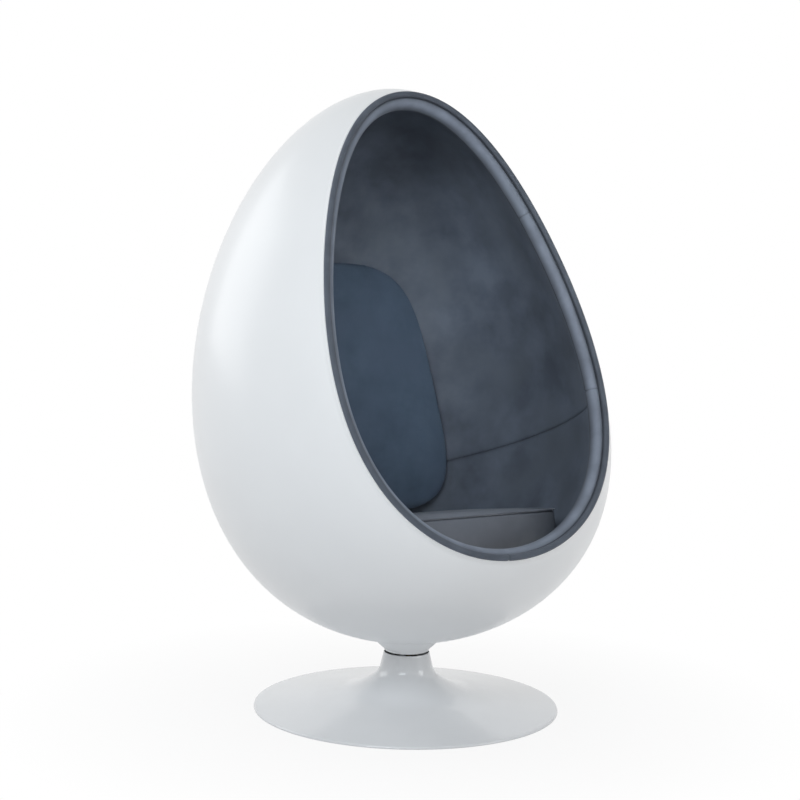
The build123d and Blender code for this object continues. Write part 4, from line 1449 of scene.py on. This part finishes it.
@dataclass
class Studio:
    """A white room: a pale floor, an even world and soft lamps."""

    ambient: float = 0.35
    floor_half: float = 9.0
    floor_colour: str = "#dadadb"
    shadow_share: float = 0.12     # how much of the floor's own shading the camera sees by the chair
    shadow_start: float = 0.34     # from the swivel's axis to where the seen shadow begins to fade
    shadow_end: float = 0.85
    lamps: tuple = (
        SoftBox("key_box", -50.0, 2.5, 3.2, 1.6, 1.3, 50.0, "#f3f9ff"),
        SoftBox("side_box", 36.0, 1.3, 2.8, 1.2, 1.2, 13.0),
        SoftBox("mouth_box", 2.0, 1.25, 2.6, 0.6, 0.6, 0.38, aim=(0.16, 0.38, 0.78), spread=23.0),
        SoftBox("rear_box", 140.0, 2.0, 3.0, 2.0, 2.0, 14.0, mirrored=False),
        SoftBox("back_box", -140.0, 2.0, 3.0, 2.0, 2.0, 24.0),
    )

    def build(self) -> None:
        """Make the floor, the world and the lamps, and set the plain view transform."""
        self.build_world()
        self.build_floor()
        for lamp in self.lamps:
            lamp.build()
        bpy.context.scene.view_settings.view_transform = "Standard"

    def seen_directly(self, tree: Tree) -> Socket:
        """1 for rays from the camera, a mirror or through glass, and 0 for light that falls on the chair."""
        path = add_node(tree, "ShaderNodeLightPath").outputs
        seen = calculate(tree, "MAXIMUM", path["Is Camera Ray"], path["Is Glossy Ray"])
        return calculate(tree, "MAXIMUM", seen, path["Is Transmission Ray"])

    def build_world(self) -> None:
        """White where it is seen, and a softer grey light elsewhere."""
        world = bpy.data.worlds.new("white_room")
        world.use_nodes = True
        tree = world.node_tree
        tree.nodes.clear()
        strength = ramp(tree, self.seen_directly(tree), end=(self.ambient, 1.0))
        light = add_node(tree, "ShaderNodeBackground", {"Color": linear("#ffffff"), "Strength": strength})
        add_node(tree, "ShaderNodeOutputWorld", {"Surface": light.outputs[0]})
        bpy.context.scene.world = world

    def build_floor(self) -> None:
        """A flat pale floor that keeps a soft shadow near the chair and fades to white further off."""
        half = self.floor_half
        corners = np.array([(-half, -half, 0.0), (half, -half, 0.0), (half, half, 0.0), (-half, half, 0.0)])
        floor = make_piece("studio_floor", corners, np.array([[0, 1, 2, 3]]), np.empty((0, 3), int))
        material, tree, place = empty_material("studio_floor_paint")
        away = add_node(tree, "ShaderNodeVectorMath", {"operation": "LENGTH", 0: place}).outputs["Value"]
        fade = ramp(tree, away, (self.shadow_start, self.shadow_end), (1.0 - self.shadow_share, 1.0))
        share = calculate(tree, "MULTIPLY", fade, self.seen_directly(tree))
        colour = linear(self.floor_colour)
        paint = add_node(tree, "ShaderNodeBsdfPrincipled", {"Base Color": colour, "Roughness": 0.7})
        white = add_node(tree, "ShaderNodeEmission", {"Color": linear("#ffffff"), "Strength": 1.0})
        mix = add_node(tree, "ShaderNodeMixShader", {0: share, 1: paint.outputs[0], 2: white.outputs[0]})
        add_node(tree, "ShaderNodeOutputMaterial", {"Surface": mix.outputs[0]})
        floor.data.materials.append(material)


# ---------------------------------------------------------------- the chair

def build_chair(frame: dict) -> None:
    """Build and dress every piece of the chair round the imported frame."""
    workshop = Workshop()
    workshop.dress_hardware(frame)
    shell_low, shell_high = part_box("outer_shell")
    form = PodForm(bottom=shell_low.z, top=shell_high.z)
    mouth = Mouth(form)
    Shell(form, mouth).build(workshop)
    WELT.build(mouth, workshop)
    BOLSTER.build(mouth, workshop)
    lining = Lining(form, mouth)
    lining.build(Side.UPPER, "lining_upper_panel", "upper_lining", workshop)
    lining.build(Side.LOWER, "lining_lower_panel", "lower_lining", workshop)
    seat = SeatCushion(form)
    seat.build(workshop)
    BackCushion(form, seat).build(workshop)
    SeatFiller(form, mouth, lining, seat).build(workshop)
    base_low, base_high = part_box("base_dish")
    TrumpetBase(top=base_high.z, radius=base_high.x, foot=base_low.z).build(workshop)
    Collar(form, foot_height=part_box("swivel_collar")[0].z).build(workshop)


def main() -> None:
    """Load the frame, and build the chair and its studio."""
    logging.basicConfig(level=logging.INFO, format="%(name)s: %(message)s")
    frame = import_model()
    PhotoCamera().build()
    build_chair(frame)
    Studio().build()


if __name__ == "__main__":
    main()
